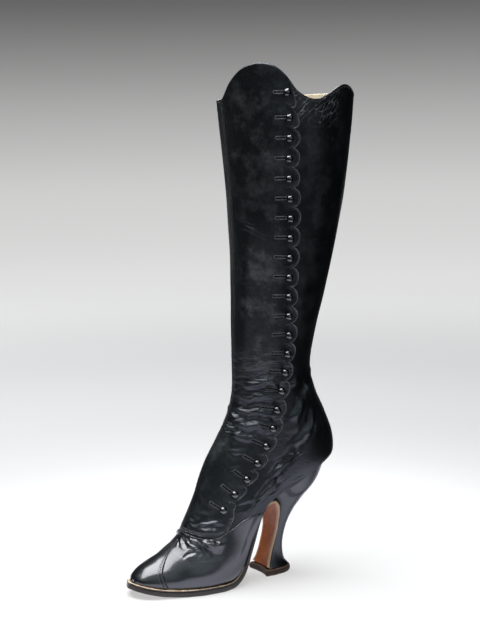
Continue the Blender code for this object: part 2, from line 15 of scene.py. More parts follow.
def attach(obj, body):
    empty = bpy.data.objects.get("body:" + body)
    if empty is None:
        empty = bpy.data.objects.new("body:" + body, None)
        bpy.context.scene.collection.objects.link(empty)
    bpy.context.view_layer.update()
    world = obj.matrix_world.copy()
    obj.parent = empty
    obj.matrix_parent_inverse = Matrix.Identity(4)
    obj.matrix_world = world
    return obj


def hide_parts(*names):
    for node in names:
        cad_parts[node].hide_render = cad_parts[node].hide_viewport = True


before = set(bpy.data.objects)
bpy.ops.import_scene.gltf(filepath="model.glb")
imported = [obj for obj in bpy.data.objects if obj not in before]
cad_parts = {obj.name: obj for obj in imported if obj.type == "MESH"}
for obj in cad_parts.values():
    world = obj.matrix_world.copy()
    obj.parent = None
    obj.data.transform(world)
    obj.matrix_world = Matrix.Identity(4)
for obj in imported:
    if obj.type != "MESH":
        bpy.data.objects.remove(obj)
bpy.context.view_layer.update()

bl_info = {
    "name": "Button boot looks",
    "version": (1, 0, 0),
    "blender": (4, 5, 0),
    "location": "View3D > Sidebar > Boot",
    "description": "Leather, buttons, seams, sole and heel of a knee-high button boot",
    "category": "Object",
}

MM = 0.001
MERGE_DISTANCE = 1e-6
BODY = "root"

# Each section of the upper is a rounded closed curve between a front and a back point.
# widest is where the section is broadest, from back (0) to front (1).
# full_front and full_back are the powers of the rounding: 2 is an ellipse, more is squarer.
SECTION_COLUMNS = ("front_x", "front_z", "back_x", "back_z", "lateral", "medial",
                   "widest", "full_front", "full_back", "sideways")
SECTIONS = {
    "collar":      (53.0, 472.0, -80.5, 472.0, 55.0, 55.0, 0.50, 2.00, 2.10, 7.0),
    "calf":        (49.0, 420.0, -77.5, 420.0, 53.0, 53.0, 0.50, 2.00, 2.10, 7.0),
    "low calf":    (43.5, 360.0, -70.0, 360.0, 47.0, 47.0, 0.50, 2.00, 2.10, 7.0),
    "shin":        (41.0, 284.0, -54.5, 284.0, 38.0, 38.0, 0.52, 2.00, 2.05, 6.5),
    "over ankle":  (42.0, 245.0, -44.5, 245.0, 33.0, 33.0, 0.52, 2.00, 2.05, 6.0),
    "ankle":       (41.5, 208.0, -39.0, 208.0, 29.0, 29.0, 0.50, 2.00, 2.05, 5.0),
    "bend":        (42.5, 180.0, -44.0, 181.0, 29.0, 29.0, 0.47, 2.00, 2.10, 4.0),
    "counter top": (49.0, 158.0, -56.0, 157.0, 30.0, 30.0, 0.42, 1.95, 2.15, 3.0),
    "counter":     (59.5, 139.0, -65.5, 134.0, 30.0, 29.0, 0.40, 1.90, 2.20, 2.0),
    "heel back":   (70.0, 121.0, -65.5, 112.0, 29.5, 28.0, 0.40, 1.90, 2.25, 1.5),
    "seat":        (77.5, 103.0, -48.0, 96.0, 29.0, 27.5, 0.42, 1.90, 2.40, 1.0),
    "seat front":  (83.5, 87.0, -20.0, 84.0, 28.0, 26.0, 0.45, 1.90, 2.50, 1.0),
    "waist":       (89.5, 73.0, 5.0, 70.0, 28.0, 25.5, 0.45, 1.90, 2.50, 1.0),
    "low waist":   (95.5, 60.0, 26.0, 42.0, 29.0, 26.5, 0.42, 1.95, 2.50, 0.5),
    "ball back":   (100.5, 47.0, 46.0, 7.0, 33.0, 31.0, 0.38, 1.95, 2.60, 0.0),
    "ball":        (112.0, 38.0, 76.0, 0.0, 33.0, 33.0, 0.34, 1.90, 2.70, -1.0),
    "cap line":    (123.0, 31.0, 100.0, 0.0, 27.5, 28.5, 0.32, 1.90, 2.70, -1.5),
    "toe":         (136.0, 25.0, 122.0, 2.0, 20.5, 21.5, 0.34, 2.10, 2.60, -2.0),
    "toe tip":     (144.6, 19.0, 138.6, 6.0, 13.0, 13.0, 0.42, 2.20, 2.40, -2.0),
    "nose":        (147.8, 15.5, 146.2, 9.0, 5.0, 5.0, 0.50, 2.10, 2.20, -2.0),
}
SECTION_TABLE = np.array(list(SECTIONS.values()))
LAST_SECTION = len(SECTIONS) - 1

# Angle round the shaft and height of the collar's edge: 0 is the front, +90 the outer side
COLLAR = np.array((
    (-180, 460.5), (-140, 458.5), (-100, 456.5), (-50, 455.0), (-8, 455.0), (2, 457.0),
    (12, 470.0), (24, 481.5), (34, 486.5), (43, 488.0), (56, 484.5), (66, 474.5),
    (73, 464.0), (80, 458.5), (90, 455.5), (98, 458.7), (106, 462.8), (114, 466.8),
    (122, 468.2), (131, 466.5), (141, 462.5), (151, 459.6), (165, 459.6), (180, 460.5),
))

# X and Z of the feather line, where the upper meets the sole: heel seat, arch, tread, toe
FEATHER = np.array((
    (-80.0, 122.6), (-40.0, 103.7), (0.0, 84.8), (10.0, 80.1), (20.0, 72.6), (25.5, 64.6), (29.8, 54.4),
    (33.8, 43.8), (39.4, 30.8), (45.6, 19.2), (53.0, 11.4), (62.0, 7.4), (72.0, 6.9), (88.0, 6.9),
    (104.0, 6.9), (124.0, 8.4), (138.0, 11.0), (153.0, 14.6), (165.0, 17.6),
))
FEATHER_STEPS = 400

# The outsole from the foot of the heel breast, over the arch, to the toe
OUTSOLE_COLUMNS = ("x", "z", "thickness", "lateral", "medial", "hollow")
OUTSOLE = {
    "breast foot":  (10.0, 7.4, 2.5, 14.6, 14.6, 2.0),
    "breast low":   (7.9, 13.0, 2.5, 12.3, 12.3, 2.0),
    "breast waist": (4.7, 24.0, 2.5, 11.2, 11.0, 1.8),
    "breast":       (1.4, 36.0, 2.5, 11.8, 11.2, 1.5),
    "breast high":  (-0.6, 48.0, 2.5, 13.4, 12.4, 1.2),
    "breast top":   (-0.8, 58.0, 2.5, 15.8, 14.6, 0.8),
    "arch back":    (0.2, 66.5, 2.5, 18.2, 17.0, 0.4),
    "arch rise":    (3.2, 72.8, 2.5, 20.2, 19.0, 0.0),
    "arch top":     (8.4, 76.2, 2.6, 21.6, 20.4, 0.0),
    "arch front":   (14.2, 75.6, 2.8, 22.4, 21.0, 0.0),
    "waist high":   (19.8, 72.0, 3.0, 22.8, 21.2, 0.0),
    "waist":        (25.2, 64.1, 3.0, 23.2, 21.4, 0.0),
    "waist low":    (29.4, 54.0, 3.0, 23.6, 21.6, 0.0),
    "shank":        (33.4, 43.4, 3.2, 24.2, 22.2, 0.0),
    "shank low":    (38.9, 30.4, 3.4, 25.4, 23.2, 0.0),
    "spring":       (44.6, 18.0, 3.8, 27.0, 24.6, 0.0),
    "ball back":    (52.0, 9.6, 4.4, 29.6, 26.8, 0.0),
    "tread back":   (61.0, 5.4, 4.9, 31.6, 29.0, 0.0),
    "tread":        (72.0, 5.0, 5.0, 33.6, 32.0, 0.0),
    "ball":         (88.0, 5.0, 5.0, 33.2, 34.4, 0.0),
    "tread front":  (104.0, 5.0, 5.0, 29.6, 33.0, 0.0),
    "toe back":     (124.0, 6.4, 4.9, 23.4, 27.4, 0.0),
    "toe":          (138.0, 9.0, 4.6, 18.2, 22.2, 0.0),
    "toe front":    (146.0, 10.9, 4.4, 12.4, 16.4, 0.0),
    "toe round":    (149.8, 11.8, 4.3, 7.2, 11.2, 0.0),
    "toe tip":      (151.6, 12.2, 4.2, 1.8, 5.8, 0.0),
}
OUTSOLE_TABLE = np.array(list(OUTSOLE.values()))
WELT_FROM = "spring"
WELT_DARK_BELOW = 0.45
TAN_UNTIL = "shank"
TAN_FADE = 25.0
# The pale rim on the sole's edge along the breast and arch is a painted highlight
EDGE_HIGHLIGHT_UNTIL = "arch front"
EDGE_HIGHLIGHT_FADE = 9.0
STATIONS_PER_ROW = 8

# The heel between its foot on the lift and the heel seat; each section runs from breast to back
HEEL_COLUMNS = ("front_x", "front_z", "back_x", "back_z", "half_width", "swell", "round", "hollow")
HEEL = {
    "foot":      (10.0, 6.5, -17.5, 6.5, 14.6, 0.6, 2.5, 2.0),
    "flare":     (7.6, 13.0, -12.8, 13.0, 12.2, 0.3, 2.4, 2.0),
    "low waist": (4.4, 24.0, -11.2, 24.5, 11.0, 0.2, 2.3, 1.8),
    "waist":     (1.1, 36.0, -12.8, 37.5, 11.4, 0.3, 2.2, 1.5),
    "high waist": (-0.9, 48.0, -17.4, 51.0, 12.8, 0.6, 2.2, 1.2),
    "cup low":   (-1.1, 58.0, -25.5, 63.5, 15.0, 1.2, 2.2, 0.8),
    "cup":       (-0.1, 66.7, -37.0, 76.0, 17.4, 2.4, 2.3, 0.4),
    "cup high":  (2.9, 73.1, -51.0, 90.0, 19.4, 3.8, 2.4, 0.0),
    "seat":      (9.4, 79.8, -61.0, 113.1, 21.4, 5.0, 2.5, 0.0),
}
HEEL_TABLE = np.array(list(HEEL.values()))
HEEL_ROWS = 70

# The top lift's level outlines from the floor up: height, front, back and half width
LIFT = np.array((
    (0.0, 14.0, -18.4, 15.6), (1.6, 14.8, -19.2, 16.4), (5.0, 14.4, -18.8, 16.0), (6.2, 13.6, -17.8, 15.2),
))
LIFT_ROWS = 40
LIFT_SWELL = 0.8
LIFT_ROUND = 2.5
LIFT_HOLLOW = 2.2
LIFT_LAYERS = (2.1, 4.2)
# Depth and width of the lift's grooves, depth and fineness of its nicks, and the reach of its worn edges
LIFT_GROOVE = 0.22
LIFT_NICKS = 0.6
NICKS_FINER = 9.0
LIFT_WORN = 0.9

# The line of buttons down the outer front: section number and angle
BUTTON_LINE = np.array((
    (0.0, 63.0), (0.67, 65.3), (1.60, 65.3), (2.20, 68.6), (3.20, 76.5), (4.30, 84.5), (5.20, 81.5),
    (6.50, 67.0), (8.20, 59.0), (10.0, 56.0), (11.81, 55.0), (12.6, 54.0),
))
BUTTON_COUNT = 23
HOLES_LEVEL_ABOVE = 1.3
HOLE_TROUGH = 15.0
HOLE_TROUGH_WIDTH = 1.5
HOLE_TROUGH_RISE = -0.35
FIRST_BUTTON = 0.27
SECOND_BUTTON = 0.66
LAST_BUTTON = 11.76

# The fly: its front edge, its scallops beyond the button line and its foot over the throat
FLY_FRONT_ANGLE = -2.0
SCALLOP_NOTCH = 3.8
SCALLOP_DEPTH = 7.0
LAST_LOBE_GROWS = 0.6
INSET_NARROWS = 0.08
INSET_NOTCH = 0.7
FLY_FOOT_SECTION = 13.35
FLY_FOOT_RISE = 0.70
FLY_RISE_ANGLE = 80.0
FLY_RISE_POWER = 4
FLY_CORNER_ANGLE = 75.0
FLY_COLUMNS = 48
FLY_EDGE_COLUMNS = (0.0, 0.1, 0.25, 0.45, 0.7, 1.0, 1.4, 1.8, 2.2, 2.6, 3.0, 3.5, 4.2, 5.2)
SCALLOP_STEPS = 16
FLY_FOOT_STEPS = 52

# Sewing rows: distance inside the scallops, the fly's front and its foot, how deep they draw in, and the curl
SCALLOP_SEAM = 2.3
FRONT_SEAMS = (1.4, 3.2)
FOOT_SEAMS = (1.5, 3.2)
SEAM_DEPTH = 0.4
EDGE_CURL = 0.8

# The vamp's top line by angle, and the toe cap's swept back line
VAMP_LINE = np.array((
    (0, 13.40), (40, 13.36), (65, 13.10), (80, 12.68), (94, 12.25), (110, 12.16), (150, 12.10),
))
CAP_PEAK = 14.0
CAP_SWEEP = 2.85
CAP_SPREAD = 22.0
CAP_SEAM = 0.03
VAMP_LEAST = 0.3

# Creases of the worn leather, each a soft ridge (rise above 0) or trough between two places on the upper:
# section and angle of both ends, the bow across its length, its width and its rise
CREASES = {
    "dome":              (0.20, 16, 0.30, 45, 0.5, 1.8, 0.5),
    "dome low":          (0.65, 38, 0.67, 55, 0.0, 2.2, 0.4),
    "shin slant":        (2.23, 6, 2.40, 56, 0.0, 1.8, 0.7),
    "shin slant upper":  (2.15, 11, 2.24, 37, 0.0, 1.5, 0.5),
    "shin level":        (2.94, 9, 2.89, 36, 0.0, 2.2, 0.5),
    "quarter level":     (2.42, 76, 2.48, 140, 0.0, 1.3, 0.4),
    "quarter upright":   (1.43, 84, 2.25, 90, 0.0, 2.6, 0.18),
    "quarter soft":      (2.85, 96, 3.45, 100, 0.0, 5.0, 0.8),
    "ankle first":       (4.95, 22, 4.91, 65, 0.0, 2.4, 1.0),
    "ankle second":      (5.52, 22, 5.36, 84, 1.0, 3.0, 2.9),
    "ankle third":       (6.06, 16, 5.97, 70, 0.5, 2.3, 1.6),
    "ankle fourth":      (6.27, 10, 6.30, 62, 0.5, 2.3, 1.3),
    "bend upper":        (6.50, 9, 6.76, 76, 1.0, 3.2, 2.2),
    "bend lower":        (6.86, 8, 7.50, 70, 0.5, 3.3, 2.0),
    "bend last":         (7.55, 20, 7.90, 52, 1.0, 2.3, 1.2),
    "instep level":      (8.52, 27, 8.47, 47, 0.0, 1.9, 0.9),
    "instep upright":    (7.82, 17, 8.94, 27, 0.0, 2.2, 0.6),
    "instep low":        (9.34, 34, 9.36, 48, 0.0, 2.0, 0.5),
    "heel fold back":    (5.73, 130, 6.35, 105, 1.0, 3.0, 3.1),
    "heel fold mid":     (6.30, 107, 7.20, 80, 0.0, 2.7, 3.0),
    "heel fold long":    (6.60, 120, 8.40, 81, 0.0, 2.5, 3.5),
    "heel fold low":     (8.20, 84, 9.95, 78, 0.0, 2.5, 3.3),
    "heel fold lowest":  (9.80, 79, 11.2, 92, -1.5, 2.5, 2.8),
    "heel fold short":   (5.54, 112, 5.75, 88, 0.0, 2.4, 2.2),
    "waist fold":        (11.7, 95, 10.4, 91, 0.0, 3.0, 0.9),
    "waist trough":      (11.66, 66, 11.55, 88, 0.0, 3.0, -0.9),
    "foot lip":          (12.68, 30, 12.32, 68, 1.2, 2.1, 1.0),
    "foot lip under":    (12.88, 30, 12.54, 68, 1.2, 2.2, -1.3),
    "foot pucker":       (12.62, 15, 13.00, 34, 0.0, 2.2, 0.6),
    "foot pucker low":   (12.95, 10, 13.20, 28, 0.0, 1.8, 0.4),
    "foot ripple":       (12.01, 24, 12.07, 49, 1.0, 2.0, 0.35),
    "foot ripple low":   (12.25, 22, 12.24, 40, 1.0, 1.8, 0.25),
    "throat first":      (13.66, 6, 14.30, 34, 0.0, 1.7, -0.9),
    "throat second":     (13.58, 24, 14.10, 46, 0.0, 1.5, -0.8),
    "throat third":      (13.52, 38, 13.85, 56, 0.0, 1.6, -0.9),
    "throat fourth":     (13.38, 54, 13.52, 72, 0.0, 1.7, -0.8),
    "throat roll":       (13.62, 40, 13.34, 76, 0.0, 3.0, 3.0),
    "throat cross":      (14.80, 34, 14.15, 39, 0.0, 1.6, -0.6),
    "throat inner":      (13.62, -8, 14.20, -36, 0.0, 1.7, -0.8),
    "throat inner low":  (13.50, -30, 13.85, -56, 0.0, 1.6, -0.7),
    "inner ankle first": (5.50, -30, 5.38, -100, 1.0, 2.6, 1.0),
    "inner ankle next":  (6.10, -24, 6.05, -92, 1.0, 2.4, 1.1),
    "inner bend":        (6.60, -12, 6.85, -78, 2.0, 2.8, 1.3),
    "inner bend low":    (7.05, -14, 7.60, -66, 1.5, 2.8, 1.1),
    "inner heel fold":   (5.90, -128, 7.30, -84, 0.0, 4.2, 1.2),
    "inner heel low":    (6.90, -118, 9.60, -82, 0.0, 3.8, 1.1),
    "inner waist fold":  (10.2, -84, 11.4, -95, 0.0, 3.2, 0.9),
    "back ankle":        (4.85, 150, 4.90, 206, 1.0, 3.0, 0.9),
    "back ankle low":    (5.35, 146, 5.42, 210, 1.0, 3.0, 1.0),
    "back shin":         (3.60, 158, 3.62, 214, 0.0, 3.4, 0.6),
    "inner shin":        (3.30, -40, 3.42, -110, 1.0, 3.0, 0.6),
    "inner calf":        (1.90, -60, 2.05, -130, 0.0, 3.4, 0.5),
}

# Regions of short fine creases: sections, angles, slant in degrees from level, count and greatest height
SCATTER = (
    (4.7, 7.8, 4, 76, 4, 40, 0.40), (7.8, 12.0, 8, 56, 60, 16, 0.25), (12.0, 13.1, 8, 72, 25, 5, 0.22),
    (13.45, 14.3, 8, 58, 62, 20, 0.45), (13.45, 14.3, -58, -8, -62, 14, 0.40),
    (5.0, 11.5, 78, 130, -55, 34, 0.40), (5.0, 11.5, -130, -10, 40, 40, 0.40),
    (0.2, 4.6, 4, 62, 12, 30, 0.22), (0.1, 4.6, 80, 150, 20, 34, 0.22), (0.1, 4.6, -175, -6, -10, 40, 0.22),
    (0.08, 0.7, 76, 112, 55, 26, 0.35),
)
SCATTER_SEED = 5
SCATTER_TURN = 16
SCATTER_LENGTH = (7, 20)
SCATTER_BOW = 0.8
SCATTER_WIDTH = (0.9, 1.7)
SCATTER_SHARE = (0.4, 1.0)

# A crease's form: how its ends fade, its width there, its reach in widths and the dips beside it
CREASE_FADE = 1.2
CREASE_ENDS = (0.75, 1.25)
CREASE_REACH = 6
DIP_DEPTH = 0.45
DIP_PLACE = 1.9
DIP_SHARP = 1.4

# Drifts that make the creases uneven: seed, wave and reach down the boot, round it, and in their height
DRIFT_DOWN = ((3, 26.0, 1.1), (8, 9.0, 0.35))
DRIFT_ROUND = (4, 30.0, 0.9)
DRIFT_HEIGHT = (6, 17.0, 0.14)
DRIFT_WAVES = np.array((1.0, 0.6, 0.37))
FLAT_OVER_SOLE = 6.0

# Slow swells of the soft shaft: their waves, how flat they lie, how fast short ones fade, and their height
SWELL_WAVES = np.geomspace(120.0, 26.0, 26)
SWELL_UPRIGHT = 0.6
SWELL_FALL = 0.7
SWELL_HEIGHT = 0.10
SWELL_SEED = 11

# Where the leather shows wear, folds, pale cracks with painted glints, and paler worn glaze with painted
# sheen and highlight: limits and fade of the sections, then of the angles
COLLAR_CRACKS_AND_GLINTS = (0.0, 0.45, 0.35, 74, 104, 14)
OUTER_WEAR_AND_SHEEN = (0.0, 4.9, 0.8, 60, 100, 30)
INNER_WEAR_AND_SHEEN = (0.0, 4.6, 0.8, -150, -10, 20)
SHIN_FOLDS = (5.0, 8.6, 0.8, 0, 60, 15)
THROAT_FOLDS = (13.0, 14.4, 0.4, 0, 60, 15)
FLY_FOLDS = (4.8, 7.5, 0.6, -180, 180, 1)
# The fly's high patch paints sheen, its low patch paints a broad highlight beside the buttons, and the foot's
# level is worn glaze with painted sheen
FLY_HIGH_PAINTED_SHEEN = (0.7, 1.5, 0.7, -180, 180, 1)
FLY_LOW_PAINTED_HIGHLIGHT = (2.5, 4.9, 0.6, 32, 60, 18)
FLY_SHEEN_SIDES = (0.0, LAST_SECTION, 1.0, 12, 90, 12)
FOOT_WEAR_AND_SHEEN = 0.3

WEAR_AND_PAINTED_LIGHT = ("wear_and_sheen", "cracks_and_glints", "folds", "rubbed_and_highlit")

# Roughness, coat and tint of shine of the glazed kid on the shaft, the foot and the heel
SHAFT_GLAZE = (0.31, 0.08, "#eef5ff")
FOOT_GLAZE = (0.30, 0.85, "#f2f5ff")
HEEL_GLAZE = (0.30, 0.60, "#f2f5ff")


def srgb(code):
    """Linear red, green and blue of an sRGB hex colour."""
    channels = np.array([int(code[i:i + 2], 16) / 255 for i in (1, 3, 5)])
    low = channels / 12.92
    high = ((channels + 0.055) / 1.055) ** 2.4
    return tuple(float(c) for c in np.where(channels <= 0.04045, low, high))


def length_setting(name, description, millimetres):
    """A length that a user may change, kept in metres."""
    return bpy.props.FloatProperty(name=name, description=description, default=millimetres * MM,
                                   unit="LENGTH", precision=5)


def colour_setting(name, description, code):
    """A colour that a user may change."""
    return bpy.props.FloatVectorProperty(name=name, description=description, default=srgb(code),
                                         subtype="COLOR", min=0.0, max=1.0)


def angle_setting(name, description, degrees):
    """An angle that a user may change, kept in radians."""
    return bpy.props.FloatProperty(name=name, description=description, default=math.radians(degrees),
                                   subtype="ANGLE")


class BootSizes(bpy.types.PropertyGroup):
    """Sizes of the boot's leather, seams and buttons"""

    wall: length_setting("Upper wall", "Thickness of shaft leather and lining together", 1.8)
    fit_gap: length_setting("Fitting gap", "Gap between neighbouring pieces", 0.3)
    vamp: length_setting("Vamp", "Thickness of the vamp leather", 1.0)
    cap: length_setting("Toe cap", "Thickness of the toe cap leather", 1.5)
    fly: length_setting("Button fly", "Thickness of the fly with its facing", 1.5)
    welt: length_setting("Welt", "Thickness of the welt", 1.3)
    welt_reach: length_setting("Welt reach", "How far the welt stands past the outsole", 0.5)
    edge_round: length_setting("Cut edge", "Radius of the leather's turned edges", 0.9)
    button_radius: length_setting("Button radius", "Radius of the ball buttons", 3.75)
    button_centre: length_setting("Button height", "Height of a ball's centre over the fly", 4.3)
    shank_radius: length_setting("Shank radius", "Radius of the button's shank", 1.4)
    hole_length: length_setting("Buttonhole", "Length of a worked buttonhole", 13.0)
    hole_width: length_setting("Buttonhole width", "Width across a worked buttonhole", 3.4)
    stitch_pitch: length_setting("Stitch pitch", "Distance from stitch to stitch", 1.9)
    thread: length_setting("Thread", "Radius of the sewing thread", 0.24)
    punch_pitch: length_setting("Punching pitch", "Distance between the toe cap's punched holes", 2.1)
    punch_radius: length_setting("Punched hole", "Radius of the toe cap's punched holes", 0.55)


class BootColours(bpy.types.PropertyGroup):
    """Colours of the boot's leathers and threads"""

    kid: colour_setting("Kid", "Black glazed kid", "#07090a")
    # Worn kid is mixed in for worn glaze and also to paint sheen
    kid_worn_and_sheen: colour_setting("Worn kid", "Kid where the glaze is rubbed", "#393a3b")
    # Scuffed kid also paints highlights: the glints along cracks and the highlight along cut edges
    kid_scuffed_and_highlit: colour_setting("Scuffed kid", "Kid on cracks and rubbed edges", "#7c8083")
    thread: colour_setting("Thread", "Black silk thread", "#2b2d30")
    button: colour_setting("Button", "Black glass-like buttons", "#050506")
    lining: colour_setting("Lining", "Cotton drill lining", "#cfc4ad")
    breast: colour_setting("Breast", "Tan leather of the heel breast", "#b9682c")
    edge: colour_setting("Sole edge", "Dark burnished edge of the sole", "#393431")
    tread: colour_setting("Tread", "Worn leather of the tread", "#5b4030")
    welt: colour_setting("Welt", "Pale leather of the welt's top", "#e0cdb2")
    lift: colour_setting("Top lift", "Dark stacked leather of the lift", "#2c211b")
    lift_worn: colour_setting("Worn lift", "Rubbed edges of the lift", "#755741")
    insole: colour_setting("Insole", "Natural leather of the insole", "#b08f68")


class StageSettings(bpy.types.PropertyGroup):
    """Camera, light and floor"""

    distance: length_setting("Camera distance", "Level distance from the heel to the camera", 1410.0)
    height: length_setting("Camera height", "Height of the camera over the floor", 470.0)
    turn: angle_setting("Camera turn", "Angle of the camera from straight sideways", 31.0)
    pan: angle_setting("Camera pan", "How far the camera looks right of the heel", -1.137)
    pitch: angle_setting("Camera pitch", "How far the camera looks down", 8.978)
    roll: angle_setting("Camera roll", "Roll that keeps the boot's lean", -0.506)
    lens: bpy.props.FloatProperty(name="Lens", description="Focal length in millimetres on a 36 mm frame",
                                  default=84.375, unit="CAMERA")
    floor: colour_setting("Floor", "Pale seamless floor", "#f4f4f3")
    softbox_power: bpy.props.FloatProperty(name="Softbox", description="Power of the overhead softbox",
                                           default=92.0, unit="POWER")


def sizes():
    """The size settings in millimetres, by name."""
    group = bpy.context.scene.boot_sizes
    return {key: getattr(group, key) / MM for key in BootSizes.__annotations__}


def flow(knots, values, at, level=False):
    """Smooth cubic through a table's rows; level keeps equal neighbours flat and never overshoots."""
    knots = np.asarray(knots, float)
    values = np.asarray(values, float)
    at = np.clip(np.asarray(at, float), knots[0], knots[-1])
    steps = np.diff(knots)
    rises = np.diff(values) / steps
    slopes = np.concatenate([rises[:1], 0.5 * (rises[:-1] + rises[1:]), rises[-1:]])
    if level:
        product = rises[:-1] * rises[1:]
        total = np.where(product > 0, rises[:-1] + rises[1:], 1)
        slopes[1:-1] = np.where(product > 0, 2 * product / total, 0)
    i = np.clip(np.searchsorted(knots, at, side="right") - 1, 0, len(steps) - 1)
    t = (at - knots[i]) / steps[i]
    start = (1 + 2 * t) * (1 - t) ** 2 * values[i] + t * (1 - t) ** 2 * steps[i] * slopes[i]
    end = t * t * (3 - 2 * t) * values[i + 1] + t * t * (t - 1) * steps[i] * slopes[i + 1]
    return start + end


def rounded(angle, power):
    """Cosine and sine of an angle with their corners filled by a power, 2 being a true circle."""
    c, s = np.cos(angle), np.sin(angle)
    return np.sign(c) * np.abs(c) ** (2 / power), np.sign(s) * np.abs(s) ** (2 / power)


def wrapped(angle):
    """An angle in degrees brought between -180 and 180."""
    return (angle + 180) % 360 - 180


def unit(vectors):
    """Vectors brought to length one."""
    return vectors / np.linalg.norm(vectors, axis=-1, keepdims=True)


def run_along(points):
    """Distance along a line of points, from nought at the first."""
    return np.concatenate([[0], np.cumsum(np.linalg.norm(np.diff(points, axis=0), axis=1))])


def full_turn(count):
    """Even angles once round, in radians."""
    return np.linspace(0, 2 * math.pi, count, endpoint=False)


def upper_point(section, angle):
    """Point on the upper's outer skin at a section number and an angle in degrees from the front.

    Along the line from the section's back to its front the point goes by the rounded cosine,
    and across it by the rounded sine; over the first section the collar's height is added.
    """
    section, angle = np.broadcast_arrays(np.asarray(section, float), np.asarray(angle, float))
    row = {}
    for i, name in enumerate(SECTION_COLUMNS):
        row[name] = flow(np.arange(LAST_SECTION + 1), SECTION_TABLE[:, i], section)
    turn = np.radians(angle)
    power = np.where(np.cos(turn) >= 0, row["full_front"], row["full_back"])
    along, across = rounded(turn, power)
    reach = np.where(along >= 0, row["widest"] + (1 - row["widest"]) * along, row["widest"] * (1 + along))
    width = np.where(across >= 0, row["lateral"], row["medial"])
    rise = flow(COLLAR[:, 0], COLLAR[:, 1], wrapped(angle)) - SECTION_TABLE[0, 1]
    x = row["back_x"] + (row["front_x"] - row["back_x"]) * reach
    z = row["back_z"] + (row["front_z"] - row["back_z"]) * reach + rise * np.clip(1 - section, 0, 1)
    return np.stack([x, row["sideways"] + width * across, z], axis=-1)


SECTION_STEP = 0.02
ANGLE_STEP = 1.0


def skin_steps(section, angle):
    """How the skin moves per section and per degree, by small steps to both sides."""
    near = np.clip(section - SECTION_STEP, 0, LAST_SECTION)
    far = np.clip(section + SECTION_STEP, 0, LAST_SECTION)
    down = (upper_point(far, angle) - upper_point(near, angle)) / (far - near)[..., None]
    around = upper_point(section, angle + ANGLE_STEP) - upper_point(section, angle - ANGLE_STEP)
    return down, around / (2 * ANGLE_STEP)


def skin_scale(section, angle):
    """Millimetres per section and per degree on the skin."""
    return [np.linalg.norm(step, axis=-1) for step in skin_steps(section, angle)]


def upper_normal(section, angle):
    """Outward unit normal of the skin: the cross product of its two steps."""
    return unit(np.cross(*skin_steps(*np.broadcast_arrays(section, angle))))


def feather_line(out):
    """Dense points of the feather line seen from the side, moved up off the sole by out."""
    run = run_along(FEATHER)
    at = np.linspace(0, run[-1], FEATHER_STEPS)
    x, z = (flow(run, FEATHER[:, i], at, level=True) for i in (0, 1))
    slope = unit(np.stack([np.gradient(x), np.gradient(z)], axis=1))
    return x - out * slope[:, 1], z + out * slope[:, 0]


def over_feather(points, out):
    """Height of points over the feather line."""
    x, z = feather_line(out)
    return points[..., 2] - np.interp(points[..., 0], x, z)


FOOT_SECTIONS = 600
FOOT_ANGLES = np.arange(40, 180.5, 0.5)


@functools.cache
def lowest_angles(side, out):
    """Angle where each section's outline meets the feather line on one side, for a dense row of sections.

    The outline is followed from the ridge downwards to the first step under the line, and the
    meeting is set between the last two steps by their heights.
    """
    sections = np.linspace(0, LAST_SECTION, FOOT_SECTIONS)
    height = over_feather(upper_point(sections[:, None], side * FOOT_ANGLES), out)
    under = height < 0
    first = np.clip(np.argmax(under, axis=1), 1, None)
    pick = np.arange(len(sections))
    above, below = height[pick, first - 1], height[pick, first]
    part = above / np.where(under.any(axis=1), above - below, 1)
    meeting = FOOT_ANGLES[first - 1] + (FOOT_ANGLES[1] - FOOT_ANGLES[0]) * part
    return sections, np.where(under.any(axis=1), meeting, 180.0)


def foot_angles(section, share, out):
    """Angle for a share of the way from the ridge (0) down to the sole, outside (1) or inside (-1)."""
    outer = np.interp(section, *lowest_angles(1, out))
    inner = np.interp(section, *lowest_angles(-1, out))
    return share * np.where(share >= 0, outer, inner)


def crease_frames(rows):
    """Rows of the crease table with each crease's middle, skin scale, direction and length."""
    section_a, angle_a, section_b, angle_b, bow, width, rise = np.array(rows).T
    section, angle = 0.5 * (section_a + section_b), 0.5 * (angle_a + angle_b)
    down, around = skin_scale(section, angle)
    x, y = (angle_b - angle_a) * around, (section_b - section_a) * down
    length = np.hypot(x, y)
    return np.stack([section, angle, down, around, x / length, y / length, length, bow, width, rise], axis=1)


@functools.cache
def all_creases():
    """The worn creases and the troughs under the buttonholes, each set made once."""
    return crease_frames(list(CREASES.values()) + scattered_creases()), crease_frames(hole_creases())


def crease_field(section, angle, frames):
    """Height of the creases at places on the upper.

    Near each crease the skin is taken as flat, with millimetres along and across the crease.
    Across it the height is a bell with a shallow dip on both sides; along it a power of a half sine
    fades the ends.
    """
    height = np.zeros(np.broadcast(section, angle).shape)
    start, end = CREASE_ENDS
    for middle, middle_angle, down, around, cosine, sine, length, bow, width, rise in frames:
        x = wrapped(angle - middle_angle) * around
        y = (section - middle) * down
        along = (x * cosine + y * sine) / length + 0.5
        across = y * cosine - x * sine
        near = (along > 0) & (along < 1) & (np.abs(across) < CREASE_REACH * width + abs(bow))
        along, across = along[near], across[near]
        fade = np.sin(math.pi * along) ** CREASE_FADE
        across = (across - bow * fade) / (width * (start + (end - start) * along))
        dips = DIP_DEPTH * np.exp(-DIP_SHARP * (np.abs(across) - DIP_PLACE) ** 2)
        height[near] += rise * fade * (np.exp(-across ** 2) - dips)
    return height


def wave_sum(points, seed, waves, weights, upright=1.0):
    """Sum of sine waves through the points, in seeded directions and phases."""
    draw = np.random.default_rng(seed)
    total = np.zeros(points.shape[:-1])
    for wave, weight in zip(waves, weights):
        direction = unit(draw.normal(size=3) * (1.0, 1.0, upright))
        total += weight * np.sin(points @ (2 * math.pi / wave * direction) + draw.uniform(0, 2 * math.pi))
    return total


